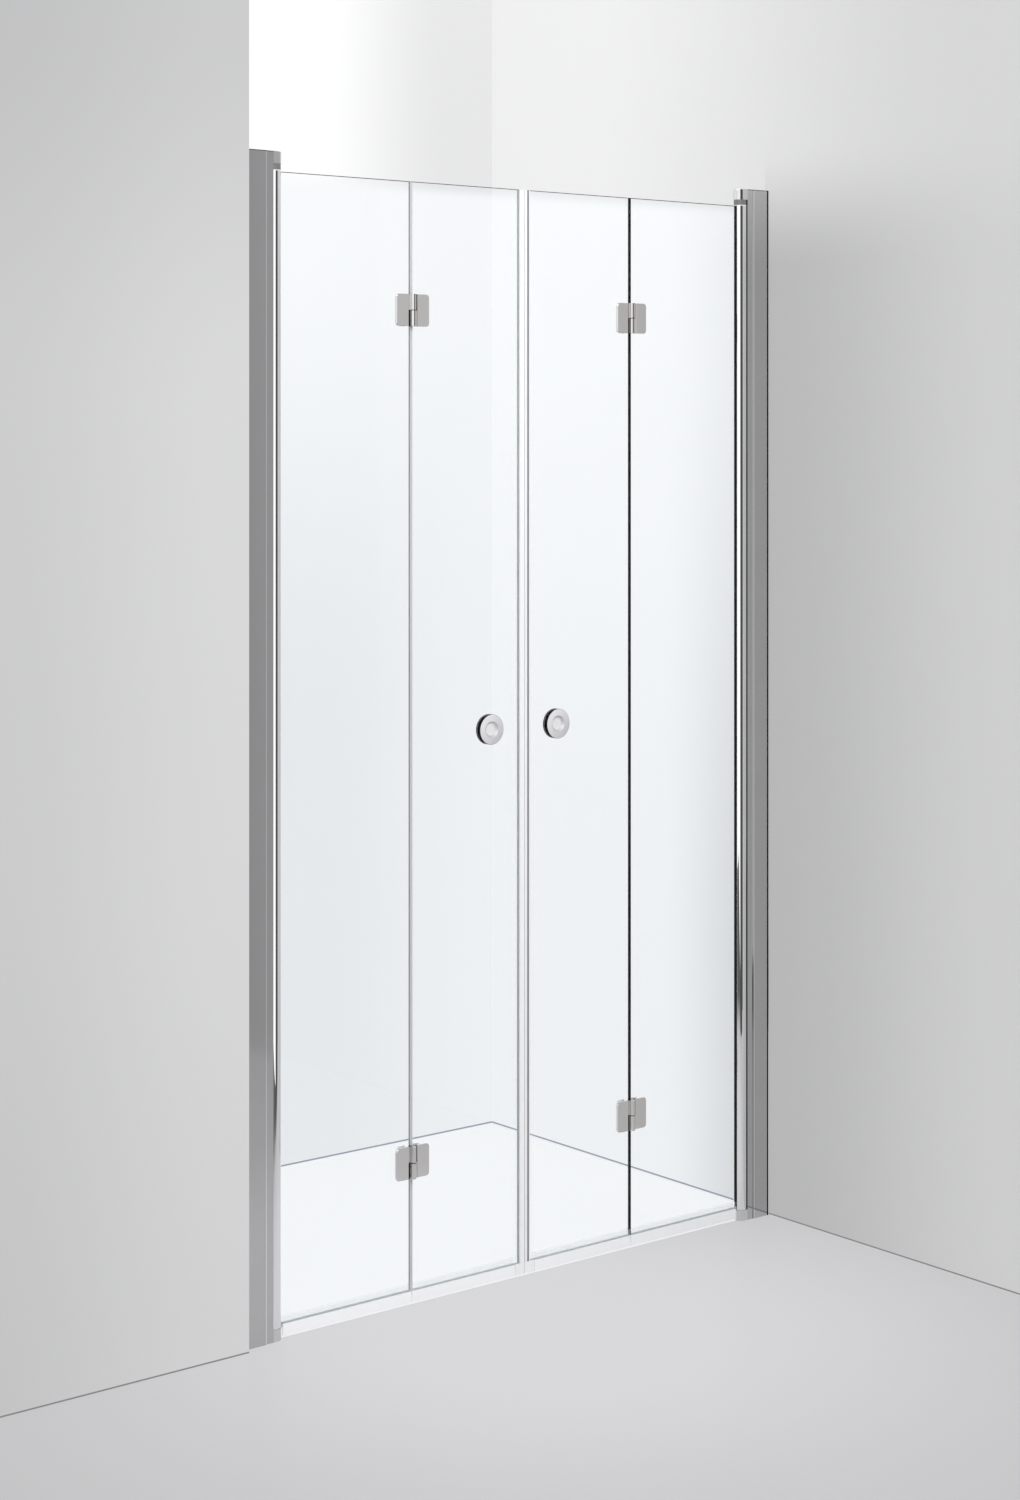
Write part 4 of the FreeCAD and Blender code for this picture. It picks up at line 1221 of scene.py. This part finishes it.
@dataclass(frozen=True)
class Lamp:
    """A soft rectangular lamp: its place, the point that it faces, its width and height, and its power."""

    name: str
    place: Point
    target: Point
    size: tuple[float, float]
    watts: float

    def build(self) -> None:
        """Adds the lamp to the scene, turned to its target."""
        data = bpy.data.lights.new(self.name, "AREA")
        data.shape = "RECTANGLE"
        data.size, data.size_y = self.size
        data.energy = self.watts
        lamp = bpy.data.objects.new(self.name, data)
        lamp.location = self.place
        aim = Vector(self.target) - Vector(self.place)
        lamp.rotation_euler = aim.to_track_quat("-Z", "Y").to_euler()
        bpy.context.collection.objects.link(lamp)


@dataclass(frozen=True)
class Card:
    """An upright card that only reflections see: its lower corner and edge, brightness and height."""

    name: str
    start: Point
    along: Point
    level: float
    height: float = 2.6

    def build(self, shop: Workshop) -> None:
        """Adds the card to the scene.

        Args:
            shop: The workshop.
        """
        sheet = flat_sheet(self.name, self.start, self.along, (0.0, 0.0, self.height), cells=1)
        shop.coat(sheet, GlowingCard(f"{self.name}_glow", self.level))
        sheet.visible_camera = False
        sheet.visible_diffuse = False
        sheet.visible_transmission = False
        sheet.visible_shadow = False


WHITE_LEVEL = 1.2
DARK_LEVEL = 0.08


@dataclass
class Studio:
    """The soft lamps, the cards that the bright metal mirrors, and the world."""

    world_level: float = 0.8
    world_colour: Colour = (0.96, 0.98, 1.0)
    lamps: tuple[Lamp, ...] = (
        Lamp("key_lamp", place=(-1.4, -2.6, 3.1), target=(0.0, 0.0, 0.9), size=(2.6, 2.0), watts=75.0),
        Lamp("shower_lamp", place=(0.0, 0.45, 2.9), target=(0.0, 0.45, 0.0), size=(1.1, 0.8), watts=3.0),
    )
    cards: tuple[Card, ...] = (
        Card("white_card", start=(-3.4, -1.95, 0.0), along=(2.9, 0.23, 0.0), level=WHITE_LEVEL),
        Card("side_card", start=(-3.6, -0.1, 0.0), along=(0.0, -1.85, 0.0), level=WHITE_LEVEL),
        Card("dark_card", start=(-0.5, -1.72, 0.0), along=(1.7, -0.24, 0.0), level=DARK_LEVEL),
        Card("near_dark_card", start=(-0.55, -1.24, 0.0), along=(0.9, -0.37, 0.0), level=DARK_LEVEL),
    )

    def world(self) -> None:
        """Makes an even pale world."""
        world = bpy.data.worlds.new("studio_world")
        bpy.context.scene.world = world
        world.use_nodes = True
        sheet = NodeSheet(world.node_tree)
        light = sheet.node("ShaderNodeBackground", None,
                           {"Color": (*self.world_colour, 1.0), "Strength": self.world_level})
        sheet.node("ShaderNodeOutputWorld", None, {"Surface": light})

    def build(self, shop: Workshop) -> None:
        """Sets up the light.

        Args:
            shop: The workshop.
        """
        self.world()
        for lamp in self.lamps:
            lamp.build()
        for card in self.cards:
            card.build(shop)


@dataclass
class PhotoCamera:
    """The camera at the photograph's place: level, with the frame shifted down."""

    place: Point = (-2.976, -3.624, 1.485)
    forward: tuple[float, float] = (0.6307, 0.776)
    lens: float = 63.67
    sensor: float = 36.0
    drop: float = -0.21

    def build(self) -> None:
        """Makes the camera and looks through it."""
        data = bpy.data.cameras.new("photo_camera")
        data.lens = self.lens
        data.sensor_width = self.sensor
        data.shift_y = self.drop
        camera = bpy.data.objects.new("photo_camera", data)
        camera.location = self.place
        camera.rotation_euler = (math.pi / 2, 0.0, -math.atan2(*self.forward))
        bpy.context.collection.objects.link(camera)
        bpy.context.scene.camera = camera


def main() -> None:
    """Dresses the screen, sets up the camera, the niche and the studio, and sets the view transform."""
    logging.basicConfig(level=logging.INFO, format="%(name)s %(message)s")
    shop = Workshop(frame["nodes"])
    PhotoCamera().build()
    WallFrame().dress(shop)
    for side in Side:
        PivotColumn(side).dress(shop)
        GlassLeaves(side).dress(shop)
        FoldHinges(side).dress(shop)
        FingerPull(side).build(shop)
    Niche().build(shop)
    Studio().build(shop)
    bpy.context.scene.view_settings.view_transform = "Standard"


if __name__ == "__main__":
    main()
